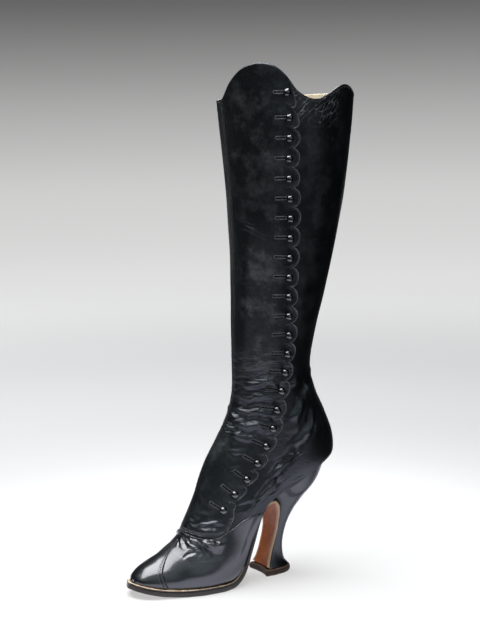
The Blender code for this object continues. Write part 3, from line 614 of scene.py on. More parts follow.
def swell_field(points):
    """Slow uneven swells, the longer ones higher."""
    weights = SWELL_HEIGHT * (SWELL_WAVES / SWELL_WAVES[0]) ** SWELL_FALL
    return wave_sum(points, SWELL_SEED, SWELL_WAVES, weights, SWELL_UPRIGHT)


def wander(points, seed, wave, reach):
    """Slow seeded drift of up to about reach, as a sum of three sine waves."""
    return wave_sum(points, seed, wave * DRIFT_WAVES, reach * DRIFT_WAVES)


def scattered_creases():
    """Short fine creases scattered by a seed over the worked leather, as rows of the crease table.

    Each region gives section and angle limits, the way its creases run, their count and their height.
    """
    draw = np.random.default_rng(SCATTER_SEED)
    rows = []
    for low, high, left, right, slant, count, rise in SCATTER:
        section = draw.uniform(low, high, count)
        angle = draw.uniform(left, right, count)
        turn = np.radians(slant + draw.normal(0, SCATTER_TURN, count))
        down, around = skin_scale(section, angle)
        half = 0.5 * draw.uniform(*SCATTER_LENGTH, count)
        ds, da = half * np.sin(turn) / down, half * np.cos(turn) / around
        bow = draw.normal(0, SCATTER_BOW, count)
        width = draw.uniform(*SCATTER_WIDTH, count)
        height = rise * draw.uniform(*SCATTER_SHARE, count) * draw.choice((1.0, 1.0, -1.0), count)
        rows += list(zip(section - ds, angle - da, section + ds, angle + da, bow, width, height))
    return rows


def hole_creases():
    """A trough under each worked buttonhole, as rows of the crease table."""
    section = button_sections()
    angle = button_angle(section)
    front = surface_offset(section, angle, HOLE_TROUGH * hole_frames()[1])
    form = (np.full(BUTTON_COUNT, value) for value in (0.0, HOLE_TROUGH_WIDTH, HOLE_TROUGH_RISE))
    return np.stack([section, angle, *front, *form], axis=1)


def relief(section, angle):
    """All height changes of the worn leather, faded out along the sole's edge."""
    points = upper_point(section, angle)
    down, around = skin_scale(section, angle)
    moved_section = section + sum(wander(points, *drift) for drift in DRIFT_DOWN) / down
    moved_angle = angle + wander(points, *DRIFT_ROUND) / around
    worn, holes = all_creases()
    height = crease_field(moved_section, moved_angle, worn) * (1 + wander(points, *DRIFT_HEIGHT))
    height += crease_field(section, angle, holes) + swell_field(points)
    return height * np.clip(over_feather(points, 0.0) / FLAT_OVER_SOLE, 0, 1)


def worn_skin(section, angle, *outs):
    """The upper's worn skin moved out along its normal, once for each distance given."""
    section, angle = np.broadcast_arrays(np.asarray(section, float), np.asarray(angle, float))
    points, normal = upper_point(section, angle), upper_normal(section, angle)
    height = relief(section, angle)
    return [points + (np.asarray(out) + height)[..., None] * normal for out in outs]


OFFSET_ROUNDS = 4


def surface_offset(section, angle, offset):
    """Section and angle of a place reached by a step in millimetres along the skin, found in a few rounds."""
    goal = upper_point(section, angle) + offset
    for _ in range(OFFSET_ROUNDS):
        left = goal - upper_point(section, angle)
        down, around = skin_steps(section, angle)
        dd, da, aa = (down * down).sum(-1), (down * around).sum(-1), (around * around).sum(-1)
        ld, la = (left * down).sum(-1), (left * around).sum(-1)
        det = dd * aa - da * da
        section, angle = section + (ld * aa - la * da) / det, angle + (la * dd - ld * da) / det
    return section, angle


def round_edge(distance, radius):
    """Share of full height beside an edge: a quarter circle that starts at the edge."""
    return np.sqrt(1 - (1 - np.clip(distance / radius, 0, 1)) ** 2)


def grid_quads(rows, columns, closed=False):
    """Corner numbers of a grid's quads; a closed grid joins its last column to its first."""
    top = np.arange(rows - 1)[:, None] * columns
    left = np.arange(columns if closed else columns - 1)[None, :]
    right = (left + 1) % columns
    below = top + columns
    return np.stack([top + left, below + left, below + right, top + right], axis=-1).reshape(-1, 4)


def each_copy(faces, count, size):
    """Faces of one small form repeated for a count of copies with so many points each."""
    return (faces[None] + size * np.arange(count)[:, None, None]).reshape(-1, faces.shape[1])


def border_quads(rows, columns, behind, open_rows=None):
    """Quads that join the border of a grid to the same grid's copy numbered from behind."""
    top = np.arange(columns)
    bottom = top + (rows - 1) * columns
    left = np.arange(rows) * columns
    right = left + columns - 1
    keep = np.ones(rows - 1, bool) if open_rows is None else open_rows[:-1] & open_rows[1:]
    quads = []
    for line, kept in ((top[::-1], None), (bottom, None), (left, keep), (right[::-1], keep[::-1])):
        a, b = line[:-1], line[1:]
        quad = np.stack([a, a + behind, b + behind, b], axis=1)
        quads.append(quad if kept is None else quad[kept])
    return np.concatenate(quads)


def mesh_object(name, points, faces, materials, attributes, indices=None, merge=True):
    """Object in the scene from millimetre points, face corner arrays and values at the points."""
    mesh = bpy.data.meshes.new(name)
    points = np.asarray(points, float).reshape(-1, 3) * MM
    mesh.from_pydata(points.tolist(), [], [face for block in faces for face in np.asarray(block).tolist()])
    for material in materials:
        mesh.materials.append(material)
    if indices is not None:
        mesh.polygons.foreach_set("material_index", np.asarray(indices, np.int32))
    for key, values in attributes.items():
        layer = mesh.attributes.new(key, "FLOAT", "POINT")
        layer.data.foreach_set("value", np.asarray(values, np.float32).ravel())
    if merge:
        work = bmesh.new()
        work.from_mesh(mesh)
        bmesh.ops.remove_doubles(work, verts=work.verts, dist=MERGE_DISTANCE)
        work.to_mesh(mesh)
        work.free()
    mesh.shade_smooth()
    mesh.update()
    obj = bpy.data.objects.new(name, mesh)
    bpy.context.scene.collection.objects.link(obj)
    return obj


def make_piece(name, points, faces, materials, replaces=(), indices=None, attributes=None, merge=True):
    """A piece that rides on the boot, and stands for the solids it replaces."""
    obj = mesh_object(name, points, faces, materials, attributes or {}, indices, merge)
    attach(obj, BODY)
    if replaces:
        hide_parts(*replaces)


def make_shell(name, outer, inner, materials, attributes, open_rows=None):
    """Closed sheet of leather in place of its solid: an outer grid, an inner grid and the edges between them.

    The second material, if there is one, is on the inner side, where every attribute is nought.
    """
    rows, columns = outer.shape[:2]
    behind = rows * columns
    front = grid_quads(rows, columns)
    edge = border_quads(rows, columns, behind, open_rows)
    points = np.concatenate([outer.reshape(-1, 3), inner.reshape(-1, 3)])
    inside = len(materials) - 1
    indices = np.concatenate([np.zeros(len(front)), np.full(len(front), inside), np.zeros(len(edge))])
    doubled = {}
    for key in WEAR_AND_PAINTED_LIGHT:
        value = np.broadcast_to(attributes.get(key, 0.0), (rows, columns))
        doubled[key] = np.concatenate([value.ravel(), np.zeros(behind)])
    faces = [front, front[:, ::-1] + behind, edge]
    make_piece(name, points, faces, materials, (name,), indices, doubled)


def button_angle(section):
    """Angle of the button line at a section."""
    return flow(BUTTON_LINE[:, 0], BUTTON_LINE[:, 1], section)


BUTTON_LINE_STEPS = 600
BUTTON_LINE_STEP = 0.05


def button_sections():
    """Section numbers of the buttons: evenly spaced along their line from the second to the last."""
    fine = np.linspace(SECOND_BUTTON, LAST_BUTTON, BUTTON_LINE_STEPS)
    run = run_along(upper_point(fine, button_angle(fine)))
    even = np.interp(np.linspace(0, run[-1], BUTTON_COUNT - 1), run, fine)
    return np.concatenate([[FIRST_BUTTON], even])


def hole_frames():
    """Each button's place on the skin, the ways of its buttonhole and of the button line, and the normal."""
    section = button_sections()
    angle = button_angle(section)
    level = np.maximum(section, HOLES_LEVEL_ABOVE)
    near, far = level - BUTTON_LINE_STEP, level + BUTTON_LINE_STEP
    line = unit(upper_point(far, button_angle(far)) - upper_point(near, button_angle(near)))
    normal = upper_normal(section, angle)
    forward = unit(np.cross(line, normal))
    forward *= np.sign(forward[:, :1])
    return upper_point(section, angle), forward, np.cross(normal, forward), normal


def scallop_bounds():
    """Sections of the notches between the buttons, from the collar to the start of the fly's foot."""
    buttons = button_sections()
    middles = 0.5 * (buttons[:-1] + buttons[1:])
    return np.concatenate([[0.0], middles, [2 * buttons[-1] - middles[-1]]])


def scallop_reach(section, inset):
    """How far the fly runs past the button line: a round lobe at each button, a notch between neighbours.

    An inset gives the line of sewing inside the edge, with a narrower lobe.
    The last lobe runs on into the foot.
    """
    bounds = scallop_bounds()
    i = np.clip(np.searchsorted(bounds, section, side="right") - 1, 0, BUTTON_COUNT - 1)
    phase = np.clip((section - bounds[i]) / (bounds[i + 1] - bounds[i]), 0, 1)
    side = (2 * phase - 1) / (1 - INSET_NARROWS * inset)
    lobe = np.sqrt(np.clip(1 - side ** 2, 0, 1))
    runs_on = (i == BUTTON_COUNT - 1) & (phase > 0.5)
    lobe = np.where(runs_on, 1 + LAST_LOBE_GROWS * (2 * phase - 1), lobe)
    return SCALLOP_NOTCH - INSET_NOTCH * inset + (SCALLOP_DEPTH - (1 - INSET_NOTCH) * inset) * lobe


def fly_edge(section, inset=0.0):
    """Angle of the scalloped edge, or of a line inside it."""
    angle = button_angle(section)
    return angle + scallop_reach(section, inset) / skin_scale(section, angle)[1]


def fly_foot(angle):
    """Section of the fly's lower edge: level at the front, rising towards its outer corner."""
    return FLY_FOOT_SECTION - FLY_FOOT_RISE * (np.abs(angle) / FLY_RISE_ANGLE) ** FLY_RISE_POWER


def vamp_top(angle):
    """Section of the vamp's top line."""
    return flow(VAMP_LINE[:, 0], VAMP_LINE[:, 1], np.abs(angle))


def cap_line(angle):
    """Section of the toe cap's back edge: a peak on the ridge, swept forward down both sides."""
    return CAP_PEAK + CAP_SWEEP * (1 - np.exp(-np.abs(angle) / CAP_SPREAD))


def eased(count, ease):
    """Shares from 0 to 1 that lie closer together near both ends; ease 0 is even and 1 a full cosine."""
    even = np.linspace(0, 1, count)
    return (1 - ease) * even + ease * (0.5 - 0.5 * np.cos(math.pi * even))


# How far a panel's inner side lies below its gap over the upper, and how far sewing stands over the leather
TUCK = 0.1
SEWN_OVER = 0.05

# Rows of the upper down to the vamp and under it, and its columns round the fly and round the rest
UPPER_ROWS = 238
UPPER_HIDDEN_ROWS = 14
UPPER_FLY_COLUMNS = 22
UPPER_OUTER_COLUMNS = 66
UPPER_INNER_COLUMNS = 102
UPPER_FLY_UNTIL = 66.0
UPPER_LINE_STEPS = 2000
UPPER_LINE_ANGLE = 75.0
UPPER_SEEN_UNTIL = 13.7
RIM_ROWS = (0.0, 0.12, 0.3, 0.55, 0.85, 1.3)
RIM_STEP = 1.8
BACK_SEAM_ANGLE = 179.9
# Paler worn glaze and painted sheen on the upper: everywhere, and more in its outer and inner patches
UPPER_WEAR_AND_SHEEN = (0.12, 0.45, 0.30)


def upper_rows():
    """The upper's rows and how far down they are: a rounded rim, even steps to the vamp, then coarser."""
    fine = np.linspace(0, LAST_SECTION, UPPER_LINE_STEPS)
    run = run_along(upper_point(fine, UPPER_LINE_ANGLE))
    end = np.interp(UPPER_SEEN_UNTIL, fine, run)
    even = np.interp(np.linspace(RIM_ROWS[-1] + RIM_STEP, end, UPPER_ROWS), run, fine)
    hidden = np.linspace(UPPER_SEEN_UNTIL, LAST_SECTION, UPPER_HIDDEN_ROWS)[1:]
    rows = np.concatenate([np.interp(RIM_ROWS, run, fine), even, hidden])
    return rows, np.interp(rows, fine, run)


def upper_columns():
    """Shares of the half girth for the upper's columns, from the back seam round the inner side and front."""
    inner = np.linspace(-1.0, FLY_FRONT_ANGLE / 180, UPPER_INNER_COLUMNS, endpoint=False)
    fly = np.linspace(FLY_FRONT_ANGLE / 180, UPPER_FLY_UNTIL / 180, UPPER_FLY_COLUMNS, endpoint=False)
    outer = np.linspace(UPPER_FLY_UNTIL / 180, 1.0, UPPER_OUTER_COLUMNS)
    return np.concatenate([inner, fly, outer])


def window(value, low, high, soft):
    """One between two limits, fading to nought over soft beyond them."""
    return np.clip((value - low) / soft + 1, 0, 1) * np.clip((high - value) / soft + 1, 0, 1)


def patch(section, angle, low, high, soft, left, right, turn_soft):
    """One in a patch of the skin between limits of section and angle, fading to nought beyond them."""
    return window(section, low, high, soft) * window(angle, left, right, turn_soft)


def build_upper():
    """Shaft and quarters as one shell: worn skin outside, lining inside, a rounded rim at the collar."""
    size = sizes()
    section, run = upper_rows()
    share = np.broadcast_to(upper_columns(), (len(section), len(upper_columns())))
    section = np.broadcast_to(section[:, None], share.shape)
    angle = foot_angles(section, share, size["fit_gap"])
    rim = (1 - round_edge(run, size["edge_round"]))[:, None] * size["edge_round"]
    outer, inner = worn_skin(section, angle, -rim, rim - size["wall"])
    closed = np.abs(angle[:, 0]) > BACK_SEAM_ANGLE
    # Paler patches on the upper are partly worn glaze and partly painted sheen
    base, outside, inside = UPPER_WEAR_AND_SHEEN
    wear_and_sheen = base + outside * patch(section, angle, *OUTER_WEAR_AND_SHEEN)
    wear = {
        "wear_and_sheen": wear_and_sheen + inside * patch(section, angle, *INNER_WEAR_AND_SHEEN),
        # Pale cracks at the collar, their colour also painting glints of light
        "cracks_and_glints": patch(section, angle, *COLLAR_CRACKS_AND_GLINTS),
        "folds": patch(section, np.abs(angle), *SHIN_FOLDS),
    }
    materials = [kid_leather("black_glazed_kid_shaft", *SHAFT_GLAZE), drill_lining()]
    make_shell("upper", outer, inner, materials, wear, ~closed)


# Rounds in which a lasted panel settles, its first angle at the sole and the ease of its columns
LASTED_ROUNDS = 8
LASTED_ANGLE = 150.0
LASTED_EASE = 0.3
# Columns of one side, rows, and the rows' ease
VAMP_GRID = (84, 110, 0.5)
CAP_GRID = (70, 80, 0.4)


def lasted_panel(thickness, columns, rows, ease, limits):
    """A panel lasted down to the sole on both sides: sections, angles, rounded edge, outer and inner skin.

    Its back and front lines depend on the angle and the sole's angle on the section, so both settle in
    a few rounds.
    """
    size = sizes()
    half = eased(columns, LASTED_EASE)
    across = np.concatenate([-half[:0:-1], half])[None, :]
    down = eased(rows, ease)[:, None]
    angle = LASTED_ANGLE * across + 0 * down
    for _ in range(LASTED_ROUNDS):
        top, end = limits(angle)
        section = top + (end - top) * down
        angle = foot_angles(section, across + 0 * down, size["fit_gap"])
    edge = round_edge((section - top) * skin_scale(section, angle)[0], size["edge_round"])
    gap = size["fit_gap"]
    return section, angle, edge, *worn_skin(section, angle, gap + size[thickness] * edge, gap - TUCK)


def vamp_limits(angle):
    """Sections of the vamp's top line and of its front line at the toe cap."""
    top = vamp_top(angle)
    return top, np.maximum(cap_line(angle) - CAP_SEAM, top + VAMP_LEAST)


def build_vamp():
    """The vamp from its top line to the toe cap, lasted down to the sole on both sides."""
    section, angle, edge, outer, inner = lasted_panel("vamp", *VAMP_GRID, vamp_limits)
    # The vamp's paler patches are worn glaze with painted sheen; its paler edges are partly rubbing and
    # partly a painted edge highlight
    wear = {"wear_and_sheen": FOOT_WEAR_AND_SHEEN, "folds": patch(section, np.abs(angle), *THROAT_FOLDS), "rubbed_and_highlit": 1 - edge}
    leather = kid_leather("black_glazed_kid_foot", *FOOT_GLAZE)
    make_shell("vamp", outer, inner, [leather], wear)


# How far the toe cap's outer and inner skins bulge at the nose, and the rows of the bulge
NOSE_OUTER = 1.6
NOSE_INNER = 0.6
NOSE_STEPS = 8


def cap_limits(angle):
    """Sections of the toe cap's swept edge and of the tip of the toe."""
    return cap_line(angle), LAST_SECTION


def build_toe_cap():
    """The toe cap from its swept edge to the tip of the toe, closed at the nose on the feather line."""
    _, _, edge, outer, inner = lasted_panel("cap", *CAP_GRID, cap_limits)
    outer, inner = close_nose(outer, NOSE_OUTER), close_nose(inner, NOSE_INNER)
    # The cap's paler edges are partly rubbing and partly a painted edge highlight; its patches are worn glaze
    # with painted sheen
    rubbed_and_highlit = np.zeros(outer.shape[:2])
    rubbed_and_highlit[:len(edge)] = 1 - edge
    leather = kid_leather("black_glazed_kid_foot", *FOOT_GLAZE)
    make_shell("toe_cap", outer, inner, [leather], {"wear_and_sheen": FOOT_WEAR_AND_SHEEN, "rubbed_and_highlit": rubbed_and_highlit})


def close_nose(grid, reach):
    """Rows that close the toe: the last row shrinks on a quarter circle to the middle of its two ends."""
    pole = 0.5 * (grid[-1, 0] + grid[-1, -1])
    turn = np.linspace(0, math.pi / 2, NOSE_STEPS + 1)[1:, None, None]
    rows = pole + (grid[-1] - pole) * np.cos(turn) + np.array((reach, 0.0, 0.0)) * np.sin(turn)
    return np.concatenate([grid, rows])


def edge_columns(start, end, step):
    """Angles from start to end, at set millimetres inside both edges and even between."""
    near = np.array(FLY_EDGE_COLUMNS)
    front, back = start + near / step, end - near[::-1] / step
    even = np.linspace(0, 1, FLY_COLUMNS)[1:-1]
    middle = front[:, -1:] + (back[:, :1] - front[:, -1:]) * even
    return np.concatenate([front, middle, back], axis=1)


# Ease of the fly's rows in each scallop and at its foot
SCALLOP_EASE = 0.75
FLY_FOOT_EASE = 0.5


def fly_grid():
    """Sections and angles of the fly, from collar to foot and from front seam to scallops."""
    bounds = scallop_bounds()
    phases = eased(SCALLOP_STEPS + 1, SCALLOP_EASE)[:-1]
    rows = (bounds[:-1, None] + phases * np.diff(bounds)[:, None]).ravel()
    edge = fly_edge(rows)
    step = skin_scale(rows, edge)[1]
    angle = edge_columns(FLY_FRONT_ANGLE + 0 * edge[:, None], edge[:, None], step[:, None])
    section = np.broadcast_to(rows[:, None], angle.shape)
    start = bounds[-1]
    corner = fly_edge(np.array([start]))[0]
    part = eased(FLY_FOOT_STEPS, FLY_FOOT_EASE)[:, None]
    side = corner + (FLY_CORNER_ANGLE - corner) * np.sin(part * math.pi / 2)
    foot_angle = edge_columns(FLY_FRONT_ANGLE + 0 * side, side, np.full_like(side, step[-1]))
    foot_section = start + (fly_foot(foot_angle) - start) * part
    return np.concatenate([section, foot_section]), np.concatenate([angle, foot_angle])


# Widths over which the fly's lobes curl, its seams draw in and its edges turn paler, partly from rubbing and
# partly as a painted edge highlight
CURL_WIDTH = 4.0
SCALLOP_SEAM_WIDTH = 0.55
SEAM_WIDTH = 0.5
SCALLOP_RUB_AND_HIGHLIGHT = 1.2
FRONT_RUB_AND_HIGHLIGHT = 0.8
FRONT_RUB_AND_HIGHLIGHT_LEVEL = 0.6
# Paler worn glaze and painted sheen on the fly: everywhere, and more in its high and low patches, the low one
# a painted highlight beside the buttons
FLY_WEAR_AND_SHEEN = (0.45, 0.45, 1.1)


def bell(distance, width):
    """A bell: one at nought, falling away on both sides over the width."""
    return np.exp(-(distance / width) ** 2)


def build_fly():
    """The scalloped fly, following the shaft's creases, with rounded edges and lightly curled lobes."""
    size = sizes()
    section, angle = fly_grid()
    down, around = skin_scale(section, angle)
    to_scallop = (angle[:, -1:] - angle) * around
    from_front = (angle - angle[:, :1]) * around
    below = (fly_foot(angle) - section) * down
    nearest = np.minimum(np.minimum(np.minimum(to_scallop, from_front), below), section * down)
    edge = round_edge(nearest, size["edge_round"])
    curl = EDGE_CURL * bell(to_scallop, CURL_WIDTH) * (section < scallop_bounds()[-1])
    groove = SEAM_DEPTH * bell(to_scallop - SCALLOP_SEAM, SCALLOP_SEAM_WIDTH)
    for distance, seams in ((from_front, FRONT_SEAMS), (below, FOOT_SEAMS)):
        groove += SEAM_DEPTH * sum(bell(distance - inset, SEAM_WIDTH) for inset in seams)
    raised = size["fit_gap"] + curl
    outer, inner = worn_skin(section, angle, raised + size["fly"] * edge - groove, raised - TUCK)
    # The fly's paler patches paint its sheen, the low patch a broad highlight beside the buttons
    base, high, low = FLY_WEAR_AND_SHEEN
    wear_and_sheen = base + high * patch(section, angle, *FLY_HIGH_PAINTED_SHEEN) + low * patch(section, angle, *FLY_LOW_PAINTED_HIGHLIGHT)
    # Paler scallop and front edges: partly rubbing, partly a painted edge highlight
    front_rub_and_highlight = FRONT_RUB_AND_HIGHLIGHT_LEVEL * bell(from_front, FRONT_RUB_AND_HIGHLIGHT)
    wear = {
        "wear_and_sheen": wear_and_sheen * patch(section, angle, *FLY_SHEEN_SIDES),
        "folds": patch(section, angle, *FLY_FOLDS),
        "rubbed_and_highlit": np.maximum(bell(to_scallop, SCALLOP_RUB_AND_HIGHLIGHT), front_rub_and_highlight),
    }
    make_shell("button_fly", outer, inner, [kid_leather("black_glazed_kid_shaft", *SHAFT_GLAZE)],
               wear)


BUTTON_RINGS = 22
BUTTON_SEGMENTS = 32
BALL_ENDS = 141.0
SHANK_TOP = 0.6


def build_buttons():
    """Turned ball buttons: a sphere from its top down to the shank, then the shank to the fly."""
    size = sizes()
    section = button_sections()
    place, forward, along, normal = hole_frames()
    seat = 2 * size["fit_gap"] + size["fly"] + relief(section, button_angle(section))
    place = place + seat[:, None] * normal
    turn = np.radians(np.linspace(0, BALL_ENDS, BUTTON_RINGS))
    ball = size["button_radius"]
    radius = np.concatenate([ball * np.sin(turn), [size["shank_radius"]] * 2, [0.0]])[:, None, None]
    height = np.concatenate([size["button_centre"] + ball * np.cos(turn), [SHANK_TOP, 0.0, 0.0]])
    height = height[:, None, None]
    place, forward, along, normal = (part[:, None, None] for part in (place, forward, along, normal))
    spin = full_turn(BUTTON_SEGMENTS)[:, None]
    points = place + height * normal + radius * (np.cos(spin) * forward + np.sin(spin) * along)
    faces = grid_quads(len(radius), BUTTON_SEGMENTS, closed=True)
    material = glass_button()
    for i in range(BUTTON_COUNT):
        make_piece(f"ball_button_{i + 1:02d}", points[i], [faces], [material],
                   (f"button_{i + 1:02d}",))


# Buttonholes: points of the ring and of its bar, start from the button, share of the length by section,
# the bar's radius, flatness, lift, inset and ripple, points in a stitch, roundness, and the slit's width
HOLE_POINTS = 60
HOLE_SIDES = 8
HOLE_STARTS = 1.0
HOLE_SHORTER = ((0.0, 4.0), (0.78, 1.0))
HOLE_BAR = 0.58
HOLE_BAR_FLAT = 0.8
HOLE_BAR_OUT = 0.15
HOLE_BAR_INSET = 0.5
HOLE_RIPPLE = 0.09
HOLE_STITCH_POINTS = 4
HOLE_END_ROUND = 1.6
HOLE_SIDE_ROUND = 1.5
SLIT_WIDTH = 0.8


def build_buttonholes():
    """Worked buttonholes: a thread-covered ring round a long slit, from the button towards the front.

    The ring's path is a stadium in millimetres on the skin; its bar is a circle whose radius ripples with
    the buttonhole stitches. The slit is a dark lens-shaped leaf inside it, painted shade that stands for the
    slit's depth. Holes near the collar are shorter.
    """
    size = sizes()
    section = button_sections()
    angle = button_angle(section)
    _, forward, along, _ = hole_frames()
    half_width = size["hole_width"] / 2 - HOLE_BAR_INSET
    length = (size["hole_length"] * np.interp(section, *HOLE_SHORTER))[:, None]
    turn = full_turn(HOLE_POINTS)
    cosine, sine = np.cos(turn), np.sin(turn)
    straight = np.sign(cosine) * (length / 2 - half_width) * np.clip(np.abs(cosine) * HOLE_END_ROUND, 0, 1)
    u = HOLE_STARTS + length / 2 + straight + half_width * cosine
    v = half_width * np.sign(sine) * np.clip(np.abs(sine) * HOLE_SIDE_ROUND, 0, 1) + 0 * u
    top = size["fit_gap"] + size["fly"]
    ring = on_fly(section, angle, forward, along, u, v, top + HOLE_BAR_OUT)
    normal = upper_normal(section, angle)[:, None]
    outward = np.cross(unit(np.roll(ring, -1, axis=1) - np.roll(ring, 1, axis=1)), normal)
    spin = full_turn(HOLE_SIDES)[:, None]
    ripple = HOLE_BAR + HOLE_RIPPLE * np.cos(turn * HOLE_POINTS / HOLE_STITCH_POINTS)
    bar = outward[:, :, None] * np.cos(spin) + normal[:, :, None] * HOLE_BAR_FLAT * np.sin(spin)
    tubes = ring[:, :, None] + ripple[:, None, None] * bar
    each = HOLE_POINTS * HOLE_SIDES
    tube_faces = each_copy(grid_quads(HOLE_POINTS + 1, HOLE_SIDES, closed=True) % each, BUTTON_COUNT, each)
    # The slit's leaf is a dark sheet of painted shade
    leaf = on_fly(section, angle, forward, along, u, SLIT_WIDTH * v, top + SEWN_OVER)
    leaf_faces = np.arange(BUTTON_COUNT * HOLE_POINTS).reshape(BUTTON_COUNT, HOLE_POINTS)
    leaf_faces = BUTTON_COUNT * each + leaf_faces
    points = np.concatenate([tubes.reshape(-1, 3), leaf.reshape(-1, 3)])
    indices = np.concatenate([np.zeros(len(tube_faces)), np.ones(len(leaf_faces))])
    make_piece("buttonholes", points, [tube_faces, leaf_faces], [silk_thread(), slit_shadow()],
               indices=indices, merge=False)


def on_fly(section, angle, forward, along, u, v, out):
    """Points on the fly at u millimetres forward and v along the button line from each button."""
    offset = u[..., None] * forward[:, None] + v[..., None] * along[:, None]
    base = np.broadcast_to(section[:, None], offset.shape[:2])
    turned = np.broadcast_to(angle[:, None], offset.shape[:2])
    return worn_skin(*surface_offset(base, turned, offset), out)[0]


def seam_places(section, angle, out, pitch):
    """Evenly spaced places along a line on the skin, with the line's way and the skin's normal there."""
    line = worn_skin(section, angle, out)[0]
    run = run_along(line)
    at = np.arange(pitch / 2, run[-1], pitch)
    place, ahead, behind = (np.stack([np.interp(at + step, run, line[:, i]) for i in range(3)], axis=1)
                            for step in (0.0, pitch / 4, -pitch / 4))
    normal = upper_normal(np.interp(at, run, section), np.interp(at, run, angle))
    return place, unit(ahead - behind), normal


def inset_seam(line, angle, inset, out, pitch):
    """Places along a line of sections by angle, moved down the skin by an inset."""
    section = line(angle)
    return seam_places(section + inset / skin_scale(section, angle)[0], angle, out, pitch)


STITCH_RINGS = ((-0.5, 0.25, -0.5), (-0.3, 0.9, 0.1), (0.0, 1.0, 0.3), (0.3, 0.9, 0.1), (0.5, 0.25, -0.5))
STITCH_SIDES = 6
STITCH_SHARE = 0.86
VAMP_SEAMS = (1.3, 2.9)
CAP_SEAMS = (1.1, 4.6)
CAP_PITCH = 0.8
COLLAR_SEAM = 2.4
COLLAR_SEAM_OUT = 0.02
SEAM_STARTS = 0.05
SCALLOP_SEAM_POINTS = 40
SCALLOP_SEAM_EASE = 0.7
# Lines that are sewn or punched, from, to and in how many points: the front by section, the rest by angle
FRONT_SEAM_RUN = (SEAM_STARTS, FLY_FOOT_SECTION - 0.1, 900)
FOOT_SEAM_RUN = (FLY_FRONT_ANGLE + 1, FLY_CORNER_ANGLE - 2, 300)
VAMP_SEAM_RUNS = ((FLY_CORNER_ANGLE + 2, 128, 200), (-4, -128, 300))
CAP_SEAM_RUN = (-100, 100, 600)
PUNCH_RUN = (-98, 98, 600)
# The collar's line starts just behind the fly's edge at this section
COLLAR_SEAM_FROM = 0.04
COLLAR_SEAM_BEHIND = 3
COLLAR_SEAM_END = 357
COLLAR_SEAM_POINTS = 700


def stitch_mesh(seams, pitch, radius):
    """Joined stitches: each a short thread that dips into the leather at both ends.

    Its rings give the share of its length, the share of its radius and its lift in radii.
    """
    place, way, normal = (np.concatenate(part)[:, None, None] for part in zip(*seams))
    side = np.cross(way, normal)
    length, thick, lift = np.array(STITCH_RINGS).T[:, None, :, None, None]
    spin = full_turn(STITCH_SIDES)[:, None]
    points = place + STITCH_SHARE * pitch * length * way + radius * lift * normal
    points = points + radius * thick * (np.cos(spin) * side + np.sin(spin) * normal)
    rings = len(STITCH_RINGS)
    ends = np.stack([np.arange(STITCH_SIDES)[::-1], np.arange(STITCH_SIDES) + (rings - 1) * STITCH_SIDES])
    quads = grid_quads(rings, STITCH_SIDES, closed=True)
    faces = [each_copy(part, len(place), rings * STITCH_SIDES) for part in (quads, ends)]
    return points.reshape(-1, 3), faces


def build_stitching():
    """Rows of sewing along the scallops, the fly's front and foot, the vamp's top, the cap and the collar."""
    size = sizes()
    pitch = size["stitch_pitch"]
    fly_out, cap_out, vamp_out = (size["fit_gap"] + size[key] + SEWN_OVER for key in ("fly", "cap", "vamp"))
    sunk = fly_out - SEAM_DEPTH
    bounds = scallop_bounds()
    phases = eased(SCALLOP_SEAM_POINTS, SCALLOP_SEAM_EASE)[:-1]
    rows = (bounds[:-1, None] + phases * np.diff(bounds)[:, None]).ravel()
    rows = rows[rows > SEAM_STARTS]
    curl = EDGE_CURL * bell(SCALLOP_SEAM, CURL_WIDTH)
    seams = [seam_places(rows, fly_edge(rows, SCALLOP_SEAM), sunk + curl, pitch)]
    front = np.linspace(*FRONT_SEAM_RUN)
    step = skin_scale(front, np.full_like(front, FLY_FRONT_ANGLE))[1]
    seams += [seam_places(front, FLY_FRONT_ANGLE + inset / step, sunk, pitch) for inset in FRONT_SEAMS]
    turn = np.linspace(*FOOT_SEAM_RUN)
    seams += [inset_seam(fly_foot, turn, -inset, sunk, pitch) for inset in FOOT_SEAMS]
    for run in VAMP_SEAM_RUNS:
        turn = np.linspace(*run)
        seams += [inset_seam(vamp_top, turn, inset, vamp_out, pitch) for inset in VAMP_SEAMS]
    turn = np.linspace(*CAP_SEAM_RUN)
    seams += [inset_seam(cap_line, turn, inset, cap_out, CAP_PITCH * pitch) for inset in CAP_SEAMS]
    start = fly_edge(np.array([COLLAR_SEAM_FROM]))[0] + COLLAR_SEAM_BEHIND
    turn = np.linspace(start, COLLAR_SEAM_END, COLLAR_SEAM_POINTS)
    step = skin_scale(np.full_like(turn, SECTION_STEP), turn)[0]
    seams.append(seam_places(COLLAR_SEAM / step, turn, np.full_like(turn, COLLAR_SEAM_OUT), pitch))
    points, faces = stitch_mesh(seams, pitch, size["thread"])
    make_piece("stitching", points, faces, [silk_thread()], merge=False)


# Rings of a punched hole: share of its radius and lift over the cap
PUNCH_RINGS = ((1.25, -0.02), (1.0, 0.10), (0.6, 0.05))
PUNCH_SIDES = 8
PUNCH_INSET = 2.9


